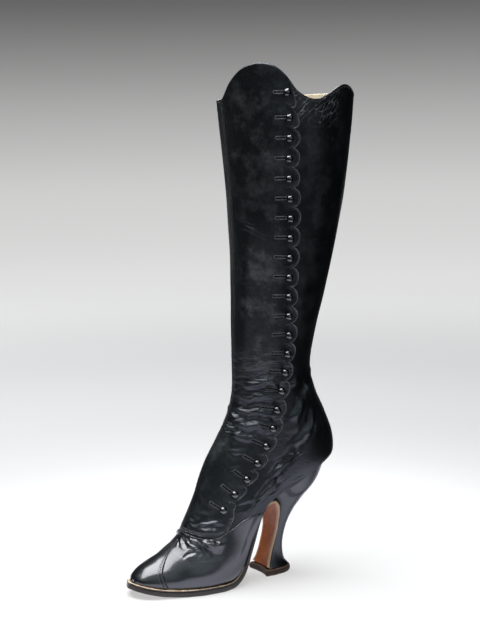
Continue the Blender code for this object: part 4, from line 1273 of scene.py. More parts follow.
def build_punching():
    """The toe cap's row of small punched holes, each a dished dark disc of painted shade standing for the
    hole's depth, between the two rows of sewing.
    """
    size = sizes()
    out = size["fit_gap"] + size["cap"]
    turn = np.linspace(*PUNCH_RUN)
    place, way, normal = inset_seam(cap_line, turn, PUNCH_INSET, out, size["punch_pitch"])
    side = np.cross(way, normal)
    spin = full_turn(PUNCH_SIDES)[:, None]
    circle = np.cos(spin) * way[:, None] + np.sin(spin) * side[:, None]
    points = np.stack([place[:, None] + size["punch_radius"] * share * circle + lift * normal[:, None]
                       for share, lift in PUNCH_RINGS], axis=1)
    rings = len(PUNCH_RINGS)
    quads = grid_quads(rings, PUNCH_SIDES, closed=True)[:, ::-1]
    middle = np.arange(PUNCH_SIDES)[None, ::-1] + (rings - 1) * PUNCH_SIDES
    faces = [each_copy(part, len(place), rings * PUNCH_SIDES) for part in (quads, middle)]
    make_piece("punching", points, faces, [slit_shadow()], merge=False)


# Ring of a sole strip: side, share of the thickness, inset and depth in edge radii, and how much edge shows
SOLE_FACE = np.linspace(1, -1, 13)
SOLE_ARC = np.radians(np.linspace(0, 90, 7))
SOLE_RADIUS = 0.9
SOLE_BULGE = 0.3
SOLE_RIM = 0.93
SOLE_NOSE = 0.9
SOLE_NOSE_STEPS = 8
SOLE_TANGENT_STEP = 0.2
THIN_RADIUS = 0.45


def sole_ring():
    """Closed outline across a strip: top face, rounded edge, bottom face and the other rounded edge."""
    arc_in, arc_down = 1 - np.sin(SOLE_ARC), 1 - np.cos(SOLE_ARC)
    none, ones, flat, full = 0 * SOLE_ARC, 1 + 0 * SOLE_ARC, 0 * SOLE_FACE, 1 + 0 * SOLE_FACE
    side = np.concatenate([SOLE_FACE, -ones, -ones, SOLE_FACE[::-1], ones, ones])
    share = np.concatenate([flat, none, ones, full, ones, none])
    inset = np.concatenate([full, arc_in, arc_in[::-1], full, arc_in, arc_in[::-1]])
    depth = np.concatenate([flat, arc_down, -arc_down[::-1], flat, -arc_down, arc_down[::-1]])
    rim = np.clip((np.abs(SOLE_FACE) - SOLE_RIM) / (1 - SOLE_RIM), 0, 1)
    edge = np.concatenate([rim, ones, ones, rim, ones, ones])
    return side, share, inset, depth, edge


def sole_stations(start=0):
    """Smooth stations along the outsole with a rounded nose, their distances and the table rows' own."""
    run = run_along(OUTSOLE_TABLE[:, :2])
    share = np.linspace(0, 1, STATIONS_PER_ROW, endpoint=False)
    at = (run[start:-1, None] + np.diff(run)[start:, None] * share).ravel()
    at = np.concatenate([at, run[-1:]])
    row = {name: flow(run, OUTSOLE_TABLE[:, i], at, level=True) for i, name in enumerate(OUTSOLE_COLUMNS)}
    ahead, behind = (np.stack([flow(run, OUTSOLE_TABLE[:, i], at + step, level=True) for i in (0, 1)], axis=1)
                     for step in (SOLE_TANGENT_STEP, -SOLE_TANGENT_STEP))
    row["tx"], row["tz"] = unit(ahead - behind).T
    turn = np.linspace(0, math.pi / 2, SOLE_NOSE_STEPS)[1:]
    nose = {name: np.repeat(value[-1:], len(turn)) for name, value in row.items()}
    half = 0.5 * (nose["lateral"] + nose["medial"])
    middle = 0.5 * (nose["lateral"] - nose["medial"])
    nose["lateral"] = middle + half * np.cos(turn)
    nose["medial"] = half * np.cos(turn) - middle
    nose["x"] = nose["x"] + SOLE_NOSE * np.sin(turn)
    row = {name: np.concatenate([row[name], nose[name]]) for name in row}
    return row, np.concatenate([at, 0 * turn + at[-1]]), run


def sole_strip(row, lift, thickness, grow):
    """Points of a strip along the sole: across by the ring, down along the line's normal."""
    side, share, inset, depth, edge = sole_ring()
    radius = np.minimum(SOLE_RADIUS, THIN_RADIUS * thickness)[:, None]
    middle = (0.5 * (row["lateral"] - row["medial"]))[:, None]
    half = (0.5 * (row["lateral"] + row["medial"]))[:, None] + grow - radius * inset
    half = np.maximum(half + SOLE_BULGE * (edge == 1), 0.02)
    down = lift - share * thickness[:, None] - radius * depth + row["hollow"][:, None] * (1 - side ** 2)
    x = row["x"][:, None] - down * row["tz"][:, None]
    z = row["z"][:, None] + down * row["tx"][:, None]
    return np.stack([x, middle + half * side, z], axis=-1), np.broadcast_to(edge, x.shape)


def build_sole():
    """The outsole over breast, arch and tread, and the welt on its forepart."""
    size = sizes()
    row, at, run = sole_stations()
    points, edge = sole_strip(row, 0.0, row["thickness"], 0.0)
    keys = list(OUTSOLE)
    attributes = {"edge": edge}
    for key, until, fade in (("tan", TAN_UNTIL, TAN_FADE), ("pale", EDGE_HIGHLIGHT_UNTIL, EDGE_HIGHLIGHT_FADE)):
        attributes[key] = np.clip(1 - (at - run[keys.index(until)]) / fade, 0, 1)[:, None] + 0 * edge
    add_stack("outsole", points, attributes, sole_leather())
    row, _, _ = sole_stations(keys.index(WELT_FROM))
    thickness = np.full(len(row["x"]), size["welt"])
    points, edge = sole_strip(row, size["fit_gap"] + size["welt"], thickness, size["welt_reach"])
    _, share, _, depth, _ = sole_ring()
    lower = edge * ((share > 0.5) | (depth > WELT_DARK_BELOW))
    add_stack("welt", points, {"edge": lower}, welt_leather())


def add_stack(name, rings, attributes, material):
    """A solid through closed rings with a flat face at both ends, in place of the solid of its name."""
    rows, columns = rings.shape[:2]
    first = np.arange(columns)[None, :]
    faces = [grid_quads(rows, columns, closed=True)[:, ::-1], first, first[:, ::-1] + (rows - 1) * columns]
    make_piece(name, rings, faces, [material], (name,), attributes=attributes)


BREAST_BACK_POINTS = 72
BREAST_FRONT = np.linspace(-0.9, 0.9, 13)


def breast_rings(front_x, front_z, back_x, back_z, half_width, swell, power, hollow):
    """Closed outlines from the breast's outer corner round the back to its inner corner, then across.

    Round the back each goes by a rounded circle of its depth and half width; across the breast it is
    hollowed by a parabola.
    """
    front = np.stack([front_x, front_z], axis=1)[:, None]
    along = np.stack([back_x, back_z], axis=1)[:, None] - front
    depth = np.linalg.norm(along, axis=-1)
    along = along / depth[..., None]
    turn = np.linspace(0, math.pi, BREAST_BACK_POINTS)[None, :]
    across, reach = rounded(turn, power[:, None])
    reach = np.clip(reach, 0, 1)
    wide = half_width[:, None] + swell[:, None] * np.sin(math.pi * reach) ** 0.8
    side = np.concatenate([across * wide, half_width[:, None] * BREAST_FRONT], axis=1)
    run = np.concatenate([reach * depth, hollow[:, None] * (1 - BREAST_FRONT ** 2)], axis=1)
    place = front + along * run[..., None]
    return np.stack([place[..., 0], side, place[..., 1]], axis=-1)


def build_heel():
    """The covered heel block, waisted between lift and seat, and the stacked top lift under it."""
    at = np.linspace(0, len(HEEL_TABLE) - 1, HEEL_ROWS)
    row = [flow(np.arange(len(HEEL_TABLE)), HEEL_TABLE[:, i], at) for i in range(len(HEEL_COLUMNS))]
    rings = breast_rings(*row)
    wear = {key: np.zeros(rings.shape[:2]) for key in WEAR_AND_PAINTED_LIGHT}
    # The heel's paler patches are worn glaze with painted sheen
    wear["wear_and_sheen"] += FOOT_WEAR_AND_SHEEN
    add_stack("heel", rings, wear, kid_leather("black_glazed_kid_heel", *HEEL_GLAZE))
    top = LIFT[-1, 0]
    z = top * eased(LIFT_ROWS, 0.5)
    front, back, half = (flow(LIFT[:, 0], LIFT[:, i], z) for i in (1, 2, 3))
    groove = sum(LIFT_GROOVE * bell(z - layer, LIFT_GROOVE) for layer in LIFT_LAYERS)
    form = (np.full(LIFT_ROWS, value) for value in (LIFT_SWELL, LIFT_ROUND, LIFT_HOLLOW))
    rings = breast_rings(front - groove, z, back + groove, z, half - groove, *form)
    nicks = LIFT_NICKS * swell_field(rings * NICKS_FINER)[..., None] * (1.0, 1.0, 0.0)
    worn = np.exp(-np.minimum(z, top - z) / LIFT_WORN)[:, None] + 0 * rings[..., 0]
    add_stack("top_lift", rings - nicks * worn[..., None], {"worn": worn}, lift_leather())


def add_node(tree, kind, values=None, links=None, **settings):
    """Adds a shader node with its settings, its sockets' values and the links into it."""
    node = tree.nodes.new("ShaderNode" + kind)
    for name, setting in settings.items():
        setattr(node, name, setting)
    for socket, value in (values or {}).items():
        node.inputs[socket].default_value = value
    for socket, source in (links or {}).items():
        tree.links.new(source, node.inputs[socket])
    return node


def new_material(name):
    """An empty material and the function that adds nodes to it."""
    material = bpy.data.materials.new(name)
    material.use_nodes = True
    material.node_tree.nodes.clear()
    return material, functools.partial(add_node, material.node_tree)


def opaque(colour):
    """Colour with full alpha."""
    return (*colour, 1.0)


def per_mm(millimetres):
    """Texture scale whose pattern repeats about every so many millimetres."""
    return 1.0 / (millimetres * MM)


def kid_leather(name, roughness, coat, tint):
    """Glazed kid: thin black goatskin polished to a hard shine.

    To the eye: near black, a clear reflection broken by a fine pebbled grain, paler patches of worn glaze
    that also paint sheen, with a smooth painted sheen where the wear_and_sheen attribute runs high, paler
    cut edges that come partly from rubbing and partly from a painted edge highlight, fine wrinkles along the
    folds, and pale hairline crazing that also paints glints where the cracks_and_glints attribute is set.
    """
    known = bpy.data.materials.get(name)
    if known:
        return known
    colours = bpy.context.scene.boot_colours
    material, add = new_material(name)
    place = add("TexCoord").outputs["Object"]
    wear_and_sheen_level, cracks_and_glints, folds, edges = (add("Attribute", attribute_name=key).outputs["Fac"] for key in WEAR_AND_PAINTED_LIGHT)
    patches = add("TexNoise", {"Scale": per_mm(26), "Detail": 8.0, "Roughness": 0.7}, {"Vector": place})
    wear_and_sheen = add("MapRange", {"From Min": 0.46, "From Max": 0.66}, {"Value": patches.outputs["Fac"]})
    smears = add("TexNoise", {"Scale": per_mm(4.5), "Detail": 8.0, "Roughness": 0.75, "Distortion": 0.6},
                 {"Vector": place})
    uneven = add("MapRange", {"From Min": 0.34, "From Max": 0.68, "To Min": 0.3},
                 {"Value": smears.outputs["Fac"]})
    # A smooth painted sheen where the wear_and_sheen attribute runs high
    painted_sheen = add("MapRange", {"From Min": 0.9, "From Max": 1.9, "To Max": 0.6}, {"Value": wear_and_sheen_level})
    wear_and_sheen = add("Math", links={0: wear_and_sheen.outputs["Result"], 1: wear_and_sheen_level, 2: painted_sheen.outputs["Result"]},
                operation="MULTIPLY_ADD")
    wear_and_sheen = add("Math", links={0: wear_and_sheen.outputs["Value"], 1: uneven.outputs["Result"]}, operation="MULTIPLY")
    slant = add("Mapping", {"Rotation": (0.0, -0.8, 0.0), "Scale": (1.0, 1.0, 4.0)}, {"Vector": place},
                vector_type="TEXTURE")
    cells = add("TexVoronoi", {"Scale": per_mm(3.0)}, {"Vector": slant.outputs["Vector"]},
                feature="DISTANCE_TO_EDGE")
    # Pale hairline cracks whose colour also paints the glints of light along them
    hairline = add("MapRange", {"From Max": 0.08, "To Min": 1.0, "To Max": 0.0},
                   {"Value": cells.outputs["Distance"]})
    broken = add("TexNoise", {"Scale": per_mm(6), "Detail": 2.0}, {"Vector": slant.outputs["Vector"]})
    broken = add("MapRange", {"From Min": 0.42, "From Max": 0.66}, {"Value": broken.outputs["Fac"]})
    crack_and_glint = add("Math", links={0: hairline.outputs["Result"], 1: broken.outputs["Result"]},
                operation="MULTIPLY")
    crack_and_glint = add("Math", links={0: crack_and_glint.outputs["Value"], 1: cracks_and_glints}, operation="MULTIPLY")
    # Paler cut edges: partly rubbing, partly a painted edge highlight
    rim = add("Math", links={0: edges, 1: uneven.outputs["Result"]}, operation="MULTIPLY")
    # Cracks and cut edges take the scuffed colour, which also paints their glints and edge highlight
    scuff = add("Math", links={0: crack_and_glint.outputs["Value"], 1: rim.outputs["Value"]}, operation="MAXIMUM")
    # The kid turns towards the worn colour for worn glaze and for painted sheen
    worn = add("Mix", {"A": opaque(colours.kid), "B": opaque(colours.kid_worn_and_sheen)},
               {"Factor": wear_and_sheen.outputs["Value"]}, data_type="RGBA")
    colour = add("Mix", {"B": opaque(colours.kid_scuffed_and_highlit)},
                 {"Factor": scuff.outputs["Value"], "A": worn.outputs["Result"]}, data_type="RGBA")
    dull = add("MapRange", {"To Min": roughness, "To Max": roughness + 0.2},
               {"Value": wear_and_sheen.outputs["Value"]})
    wrinkle = add("TexNoise", {"Scale": per_mm(5.0), "Detail": 6.0, "Roughness": 0.6, "Distortion": 0.8},
                  {"Vector": place})
    soft = add("Bump", {"Strength": 0.5, "Distance": 0.5 * MM}, {"Height": wrinkle.outputs["Fac"]})
    level = add("Mapping", {"Scale": (0.2, 0.2, 1.0), "Rotation": (0.12, 0.0, 0.0)}, {"Vector": place})
    lines = add("TexNoise", {"Scale": per_mm(3.0), "Detail": 4.0, "Distortion": 0.6},
                {"Vector": level.outputs["Vector"]})
    line = add("Math", links={0: lines.outputs["Fac"], 1: folds}, operation="MULTIPLY")
    brushed = add("Bump", {"Strength": 0.9, "Distance": 1.2 * MM},
                  {"Height": line.outputs["Value"], "Normal": soft.outputs["Normal"]})
    # real grain is about 0.3 mm; it is drawn near 0.9 mm so that it shows
    grain = add("TexVoronoi", {"Scale": per_mm(0.9)}, {"Vector": place})
    fine = add("Bump", {"Strength": 0.35, "Distance": 0.12 * MM},
               {"Height": grain.outputs["Distance"], "Normal": brushed.outputs["Normal"]})
    split = add("Bump", {"Strength": 0.8, "Distance": 0.4 * MM},
                {"Height": crack_and_glint.outputs["Value"], "Normal": fine.outputs["Normal"]}, invert=True)
    shader = add("BsdfPrincipled",
                 {"IOR": 1.5, "Coat Weight": coat, "Coat Roughness": 0.14,
                  "Specular Tint": opaque(srgb(tint))},
                 {"Base Color": colour.outputs["Result"], "Roughness": dull.outputs["Result"],
                  "Normal": split.outputs["Normal"]})
    add("OutputMaterial", links={"Surface": shader.outputs["BSDF"]})
    return material


def silk_thread():
    """Twisted black silk thread: a soft sheen and fine slanting plies."""
    known = bpy.data.materials.get("black_silk_thread")
    if known:
        return known
    colours = bpy.context.scene.boot_colours
    material, add = new_material("black_silk_thread")
    place = add("TexCoord").outputs["Object"]
    # plies are about 0.2 mm apart; drawn at 0.5 mm so that they show
    plies = add("TexWave", {"Scale": per_mm(0.5) / 6, "Distortion": 1.0}, {"Vector": place},
                bands_direction="DIAGONAL")
    bump = add("Bump", {"Strength": 0.3, "Distance": 0.08 * MM}, {"Height": plies.outputs["Fac"]})
    shade = add("MapRange", {"To Min": 0.38, "To Max": 0.52}, {"Value": plies.outputs["Fac"]})
    shader = add("BsdfPrincipled", {"Base Color": opaque(colours.thread), "Sheen Weight": 0.2},
                 {"Roughness": shade.outputs["Result"], "Normal": bump.outputs["Normal"]})
    add("OutputMaterial", links={"Surface": shader.outputs["BSDF"]})
    return material


def slit_shadow():
    """Painted shade inside a hole: a dull, fibrous, nearly black sheet where the hole's depth falls into
    shade.
    """
    known = bpy.data.materials.get("painted_hole_shade")
    if known:
        return known
    material, add = new_material("painted_hole_shade")
    place = add("TexCoord").outputs["Object"]
    fibre = add("TexNoise", {"Scale": per_mm(0.8), "Detail": 3.0}, {"Vector": place})
    colour = add("Mix", {"A": opaque(srgb("#040404")), "B": opaque(srgb("#0d0c0b"))},
                 {"Factor": fibre.outputs["Fac"]}, data_type="RGBA")
    shader = add("BsdfPrincipled", {"Roughness": 0.8, "Specular IOR Level": 0.2},
                 {"Base Color": colour.outputs["Result"]})
    add("OutputMaterial", links={"Surface": shader.outputs["BSDF"]})
    return material


def glass_button():
    """Black moulded and polished button: a deep mirror-like shine with faint handling marks."""
    colours = bpy.context.scene.boot_colours
    material, add = new_material("black_polished_button")
    place = add("TexCoord").outputs["Object"]
    marks = add("TexNoise", {"Scale": per_mm(1.6), "Detail": 4.0}, {"Vector": place})
    dull = add("MapRange", {"From Min": 0.4, "From Max": 0.8, "To Min": 0.03, "To Max": 0.09},
               {"Value": marks.outputs["Fac"]})
    shader = add("BsdfPrincipled",
                 {"Base Color": opaque(colours.button), "IOR": 1.7, "Coat Weight": 0.6,
                  "Coat Roughness": 0.04},
                 {"Roughness": dull.outputs["Result"]})
    add("OutputMaterial", links={"Surface": shader.outputs["BSDF"]})
    return material


def drill_lining():
    """Cotton drill: a matte cream cloth with a fine slanting twill."""
    colours = bpy.context.scene.boot_colours
    material, add = new_material("cotton_drill_lining")
    place = add("TexCoord").outputs["Object"]
    # twill lines are about 0.5 mm apart; drawn at 1.2 mm so that they show
    twill = add("TexWave", {"Scale": per_mm(1.2) / 6, "Distortion": 0.6, "Detail": 1.0}, {"Vector": place},
                bands_direction="DIAGONAL")
    soil = add("TexNoise", {"Scale": per_mm(30), "Detail": 4.0}, {"Vector": place})
    shade = add("MapRange", {"From Min": 0.35, "From Max": 0.75, "To Min": 0.0, "To Max": 0.35},
                {"Value": soil.outputs["Fac"]})
    colour = add("Mix", {"A": opaque(colours.lining), "B": opaque(srgb("#8f8166"))},
                 {"Factor": shade.outputs["Result"]}, data_type="RGBA")
    bump = add("Bump", {"Strength": 0.4, "Distance": 0.2 * MM}, {"Height": twill.outputs["Fac"]})
    shader = add("BsdfPrincipled", {"Roughness": 0.9, "Sheen Weight": 0.2},
                 {"Base Color": colour.outputs["Result"], "Normal": bump.outputs["Normal"]})
    add("OutputMaterial", links={"Surface": shader.outputs["BSDF"]})
    return material


def sole_leather():
    """Oak-tanned sole leather: polished tan on breast and shank, scuffed tread, burnished dark edges, and a
    pale painted highlight on the edge along the breast and arch.
    """
    colours = bpy.context.scene.boot_colours
    material, add = new_material("oak_tanned_sole_leather")
    place = add("TexCoord").outputs["Object"]
    fibre = add("TexNoise", {"Scale": per_mm(7), "Detail": 7.0, "Roughness": 0.6}, {"Vector": place})
    tan, edge, pale = (add("Attribute", attribute_name=key).outputs["Fac"] for key in ("tan", "edge", "pale"))
    mottle = add("MapRange", {"From Min": 0.3, "From Max": 0.7}, {"Value": fibre.outputs["Fac"]})
    breast = add("Mix", {"A": opaque(srgb("#8a4a22")), "B": opaque(colours.breast)},
                 {"Factor": mottle.outputs["Result"]}, data_type="RGBA")
    tread = add("Mix", {"A": opaque(srgb("#33251d")), "B": opaque(colours.tread)},
                {"Factor": mottle.outputs["Result"]}, data_type="RGBA")
    under = add("Mix", links={"Factor": tan, "A": tread.outputs["Result"], "B": breast.outputs["Result"]},
                data_type="RGBA")
    # The pale attribute paints a highlight on the edge along the breast and arch
    rim = add("Mix", {"A": opaque(colours.edge), "B": opaque(srgb("#b79d80"))}, {"Factor": pale},
              data_type="RGBA")
    stain = add("MapRange", {"From Min": 0.25, "From Max": 0.7}, {"Value": edge})
    whole = add("Mix", links={"Factor": stain.outputs["Result"], "A": under.outputs["Result"],
                              "B": rim.outputs["Result"]}, data_type="RGBA")
    dull = add("MapRange", {"To Min": 0.55, "To Max": 0.34}, {"Value": stain.outputs["Result"]})
    bump = add("Bump", {"Strength": 0.25, "Distance": 0.3 * MM}, {"Height": fibre.outputs["Fac"]})
    shader = add("BsdfPrincipled", {"Specular IOR Level": 0.3},
                 {"Base Color": whole.outputs["Result"], "Roughness": dull.outputs["Result"],
                  "Normal": bump.outputs["Normal"]})
    add("OutputMaterial", links={"Surface": shader.outputs["BSDF"]})
    return material


def welt_leather():
    """Welt strip: pale worn leather on top, a dark inked edge."""
    colours = bpy.context.scene.boot_colours
    material, add = new_material("welt_strip_leather")
    place = add("TexCoord").outputs["Object"]
    fibre = add("TexNoise", {"Scale": per_mm(4), "Detail": 6.0}, {"Vector": place})
    edge = add("Attribute", attribute_name="edge").outputs["Fac"]
    mottle = add("MapRange", {"From Min": 0.3, "From Max": 0.65}, {"Value": fibre.outputs["Fac"]})
    top = add("Mix", {"A": opaque(srgb("#8a6a4c")), "B": opaque(colours.welt)},
              {"Factor": mottle.outputs["Result"]}, data_type="RGBA")
    whole = add("Mix", {"B": opaque(colours.edge)}, {"Factor": edge, "A": top.outputs["Result"]},
                data_type="RGBA")
    bump = add("Bump", {"Strength": 0.3, "Distance": 0.25 * MM}, {"Height": fibre.outputs["Fac"]})
    shader = add("BsdfPrincipled", {"Roughness": 0.5},
                 {"Base Color": whole.outputs["Result"], "Normal": bump.outputs["Normal"]})
    add("OutputMaterial", links={"Surface": shader.outputs["BSDF"]})
    return material


def lift_leather():
    """Stacked lift leather: dark inked layers, worn brown along the edges and scuffed."""
    colours = bpy.context.scene.boot_colours
    material, add = new_material("stacked_lift_leather")
    place = add("TexCoord").outputs["Object"]
    scuff = add("TexNoise", {"Scale": per_mm(3.5), "Detail": 7.0, "Roughness": 0.65}, {"Vector": place})
    worn = add("Attribute", attribute_name="worn").outputs["Fac"]
    both = add("Math", links={0: scuff.outputs["Fac"], 1: worn}, operation="ADD")
    rubbed_and_highlit = add("MapRange", {"From Min": 0.6, "From Max": 1.25}, {"Value": both.outputs["Value"]})
    colour = add("Mix", {"A": opaque(colours.lift), "B": opaque(colours.lift_worn)},
                 {"Factor": rubbed_and_highlit.outputs["Result"]}, data_type="RGBA")
    dull = add("MapRange", {"To Min": 0.42, "To Max": 0.75}, {"Value": rubbed_and_highlit.outputs["Result"]})
    bump = add("Bump", {"Strength": 0.4, "Distance": 0.3 * MM}, {"Height": scuff.outputs["Fac"]})
    shader = add("BsdfPrincipled",
                 links={"Base Color": colour.outputs["Result"], "Roughness": dull.outputs["Result"],
                        "Normal": bump.outputs["Normal"]})
    add("OutputMaterial", links={"Surface": shader.outputs["BSDF"]})
    return material


def insole_leather():
    """Vegetable-tanned insole: natural, matte, darkened by wear in soft patches."""
    colours = bpy.context.scene.boot_colours
    material, add = new_material("natural_insole_leather")
    place = add("TexCoord").outputs["Object"]
    wear = add("TexNoise", {"Scale": per_mm(22), "Detail": 6.0}, {"Vector": place})
    grain = add("TexVoronoi", {"Scale": per_mm(1.1)}, {"Vector": place})
    colour = add("Mix", {"A": opaque(colours.insole), "B": opaque(srgb("#6f5236"))},
                 {"Factor": wear.outputs["Fac"]}, data_type="RGBA")
    bump = add("Bump", {"Strength": 0.3, "Distance": 0.15 * MM}, {"Height": grain.outputs["Distance"]})
    shader = add("BsdfPrincipled", {"Roughness": 0.7},
                 {"Base Color": colour.outputs["Result"], "Normal": bump.outputs["Normal"]})
    add("OutputMaterial", links={"Surface": shader.outputs["BSDF"]})
    return material


# The floor's outline from the middle outwards: radius, height, shaded_paint (its colour, painted darker
# outwards as painted shade) and painted_glow (a painted light that lifts shadows and evens out the far part)
# of the paper
FLOOR_COLUMNS = ("radius", "height", "shaded_paint", "painted_glow")
FLOOR = np.array((
    (0.0, 0.0, 0.34, 0.54), (280.0, 0.0, 0.34, 0.52), (480.0, 0.0, 0.36, 0.28),
    (700.0, 0.0, 0.40, 0.16), (1000.0, 0.0, 0.42, 0.17), (1850.0, 0.0, 0.44, 0.51),
    (2600.0, 0.0, 0.40, 0.63), (3500.0, 90.0, 0.34, 0.61), (3900.0, 300.0, 0.25, 0.44),
    (4050.0, 600.0, 0.16, 0.195), (4080.0, 780.0, 0.13, 0.085), (4100.0, 1000.0, 0.10, 0.05),
    (4100.0, 2600.0, 0.08, 0.02),
))
FLOOR_STEPS = 120
FLOOR_SEGMENTS = 96
SOFTBOX_SIZE = (1800.0, 1800.0)
SOFTBOX_PLACE = (270.0, -175.0, 1750.0)
FLAG_RADIUS = 3000.0
FLAG_HEIGHT = 3600.0
FLAG_ROWS = 41
FLAG_SHADE = 0.02
# Bands of the flag: angle, width, level, and the heights between which they rise
FLAG_BANDS = ((90.0, 32.0, 0.85, 0.0, 700.0), (20.0, 45.0, 0.9, 1300.0, 2100.0))
# Bells of the disc's light: reach and level; then its contact shadow's reach and share,
# and its shaded side's angle, width and share
DISC_LIGHT = ((330.0, 2.4), (900.0, 0.14))
DISC_CONTACT = (85.0, 0.9)
DISC_SHADOW = (182.0, 28.0, 0.85)
DISC_ROWS = 61
DISC_LIFT = 0.3
# Cards: x, y and z of the middle, width and height
CARDS = ((-165.0, 55.0, 257.0, 220.0, 445.0), (-82.0, 62.0, 9.0, 110.0, 18.0))
CARD_SHADE = 0.004
CARD_POINTS = 5
CLOTH_TURN = np.linspace(-180, 180, 180, endpoint=False)
FLAG_TINT = "#e2f4fa"
DISC_TINT = "#eef0ff"
CARD_TINT = "#e4f8ff"
SOFTBOX_TINT = "#fbfcff"
WORLD_TINT = "#c8ccd4"
WORLD_STRENGTH = 0.05
AIM = (30.0, 0.0, 240.0)
UPWARD = np.array((0.0, 0.0, 1.0))


def paper():
    """Seamless studio paper: matte and pale, its colour painted darker with distance as painted shade, and
    glowing with a painted light that evens out its far part and lifts the shadows near the boot.
    """
    material, add = new_material("matte_studio_paper")
    shaded_paint, painted_glow = (add("Attribute", attribute_name=key).outputs["Fac"] for key in ("shaded_paint", "painted_glow"))
    tint = bpy.context.scene.boot_stage.floor
    colour = add("Mix", {"Factor": 1.0, "A": opaque(tint)}, {"B": shaded_paint}, data_type="RGBA",
                 blend_type="MULTIPLY")
    shader = add("BsdfPrincipled",
                 {"Roughness": 0.9, "Specular IOR Level": 0.1, "Emission Color": opaque(tint)},
                 {"Base Color": colour.outputs["Result"], "Emission Strength": painted_glow})
    add("OutputMaterial", links={"Surface": shader.outputs["BSDF"]})
    return material


def studio_cloth(name, tint):
    """Studio cloth seen in the leather's shine alone: even and matte, as light as its light attribute."""
    material, add = new_material(name)
    light = add("Attribute", attribute_name="light").outputs["Fac"]
    shader = add("Emission", {"Color": opaque(srgb(tint))}, {"Strength": light})
    add("OutputMaterial", links={"Surface": shader.outputs["Emission"]})
    return material


def stage_mesh(name, points, closed, material, attributes):
    """A stage object from a grid of millimetre points."""
    rows, columns = points.shape[:2]
    spread = {key: np.broadcast_to(values, (rows, columns)) for key, values in attributes.items()}
    obj = mesh_object(name, points, [grid_quads(rows, columns, closed)], [material], spread)
    return obj


def swept(radius, height, turn):
    """Points of a round surface: radius and height by row, angle in radians by column."""
    circle = np.stack([np.cos(turn), np.sin(turn), 0 * turn], axis=1)
    return radius[..., None] * circle + height[..., None] * UPWARD


def build_flag():
    """Upright cloth round the set: a cylinder, dark but for soft brighter bands.

    Each band is a bell of the angle times a ramp of the height.
    """
    rise = np.linspace(0, FLAG_HEIGHT, FLAG_ROWS)[:, None]
    light = FLAG_SHADE + 0 * rise * CLOTH_TURN
    for angle, width, level, low, high in FLAG_BANDS:
        ramp = np.clip((rise - low) / (high - low), 0, 1)
        light += level * ramp * bell(wrapped(CLOTH_TURN - angle), width)
    points = swept(FLAG_RADIUS + 0 * rise, rise, np.radians(CLOTH_TURN))
    cloth = studio_cloth("dark_studio_cloth", FLAG_TINT)
    hide_from_camera(stage_mesh("flag", points, True, cloth, {"light": light}))


def build_disc():
    """Glowing stand-in for the lit floor, seen only in shine: bells of the distance from the heel, with
    painted shadow close to it and on one side.
    """
    radius = FLAG_RADIUS * np.linspace(0, 1, DISC_ROWS)[:, None] ** 2
    light = sum(level * bell(radius, reach) for reach, level in DISC_LIGHT)
    reach, share = DISC_CONTACT
    light = light * (1 - share * bell(radius, reach))
    angle, width, share = DISC_SHADOW
    light = FLAG_SHADE + light * (1 - share * bell(wrapped(CLOTH_TURN - angle), width))
    points = swept(radius, DISC_LIFT + 0 * radius, np.radians(CLOTH_TURN))
    cloth = studio_cloth("lit_studio_cloth", DISC_TINT)
    hide_from_camera(stage_mesh("disc", points, True, cloth, {"light": light}))


def build_cards():
    """Upright dark cards beside the heel: flat grids that face the boot."""
    spread = np.linspace(-0.5, 0.5, CARD_POINTS)
    for number, (x, y, z, width, height) in enumerate(CARDS):
        facing = np.array((-x, -y, 0.0)) / math.hypot(x, y)
        across = spread[None, :, None] * width * np.cross(UPWARD, facing)
        points = np.array((x, y, z)) + across + spread[:, None, None] * height * UPWARD
        cloth = studio_cloth(f"black_studio_cloth_{number}", CARD_TINT)
        hide_from_camera(stage_mesh(f"card_{number}", points, False, cloth, {"light": CARD_SHADE}))


def hide_from_camera(obj):
    """Leaves a stage object to be seen in shiny reflections alone."""
    obj.visible_camera = False
    obj.visible_diffuse = False
    obj.visible_shadow = False
    obj.visible_transmission = False


def look_matrix(place, forward, roll=0.0):
    """Matrix of something at a place whose -Z looks forward, turned by a roll."""
    forward = forward / np.linalg.norm(forward)
    right = np.cross(forward, (0.0, 0.0, 1.0))
    right /= np.linalg.norm(right)
    up = np.cross(right, forward)
    rolled = math.cos(roll) * right + math.sin(roll) * up
    up = np.cross(rolled, forward)
    columns = np.stack([rolled, up, -forward], axis=1)
    matrix = Matrix(columns.tolist()).to_4x4()
    matrix.translation = (np.asarray(place) * MM).tolist()
    return matrix


def add_panel(name, place, size, power, colour):
    """A rectangular light panel aimed at the boot and unseen by the camera."""
    light = bpy.data.lights.new(name, "AREA")
    light.shape = "RECTANGLE"
    light.size, light.size_y = (side * MM for side in size)
    light.energy = power
    light.color = colour
    obj = bpy.data.objects.new(name, light)
    obj.matrix_world = look_matrix(place, np.array(AIM) - np.array(place))
    obj.visible_camera = False
    bpy.context.scene.collection.objects.link(obj)


def aim_camera(settings):
    """The camera, placed and turned by the stage's settings."""
    camera = bpy.data.cameras.new("camera")
    camera.lens = settings.lens
    distance, tall = settings.distance / MM, settings.height / MM
    place = np.array((distance * math.sin(settings.turn), distance * math.cos(settings.turn), tall))
    heading = settings.turn + settings.pan
    level = np.array((-math.sin(heading), -math.cos(heading)))
    forward = np.array((*(level * math.cos(settings.pitch)), -math.sin(settings.pitch)))
    obj = bpy.data.objects.new("camera", camera)
    obj.matrix_world = look_matrix(place, forward, settings.roll)
    bpy.context.scene.collection.objects.link(obj)
    bpy.context.scene.camera = obj


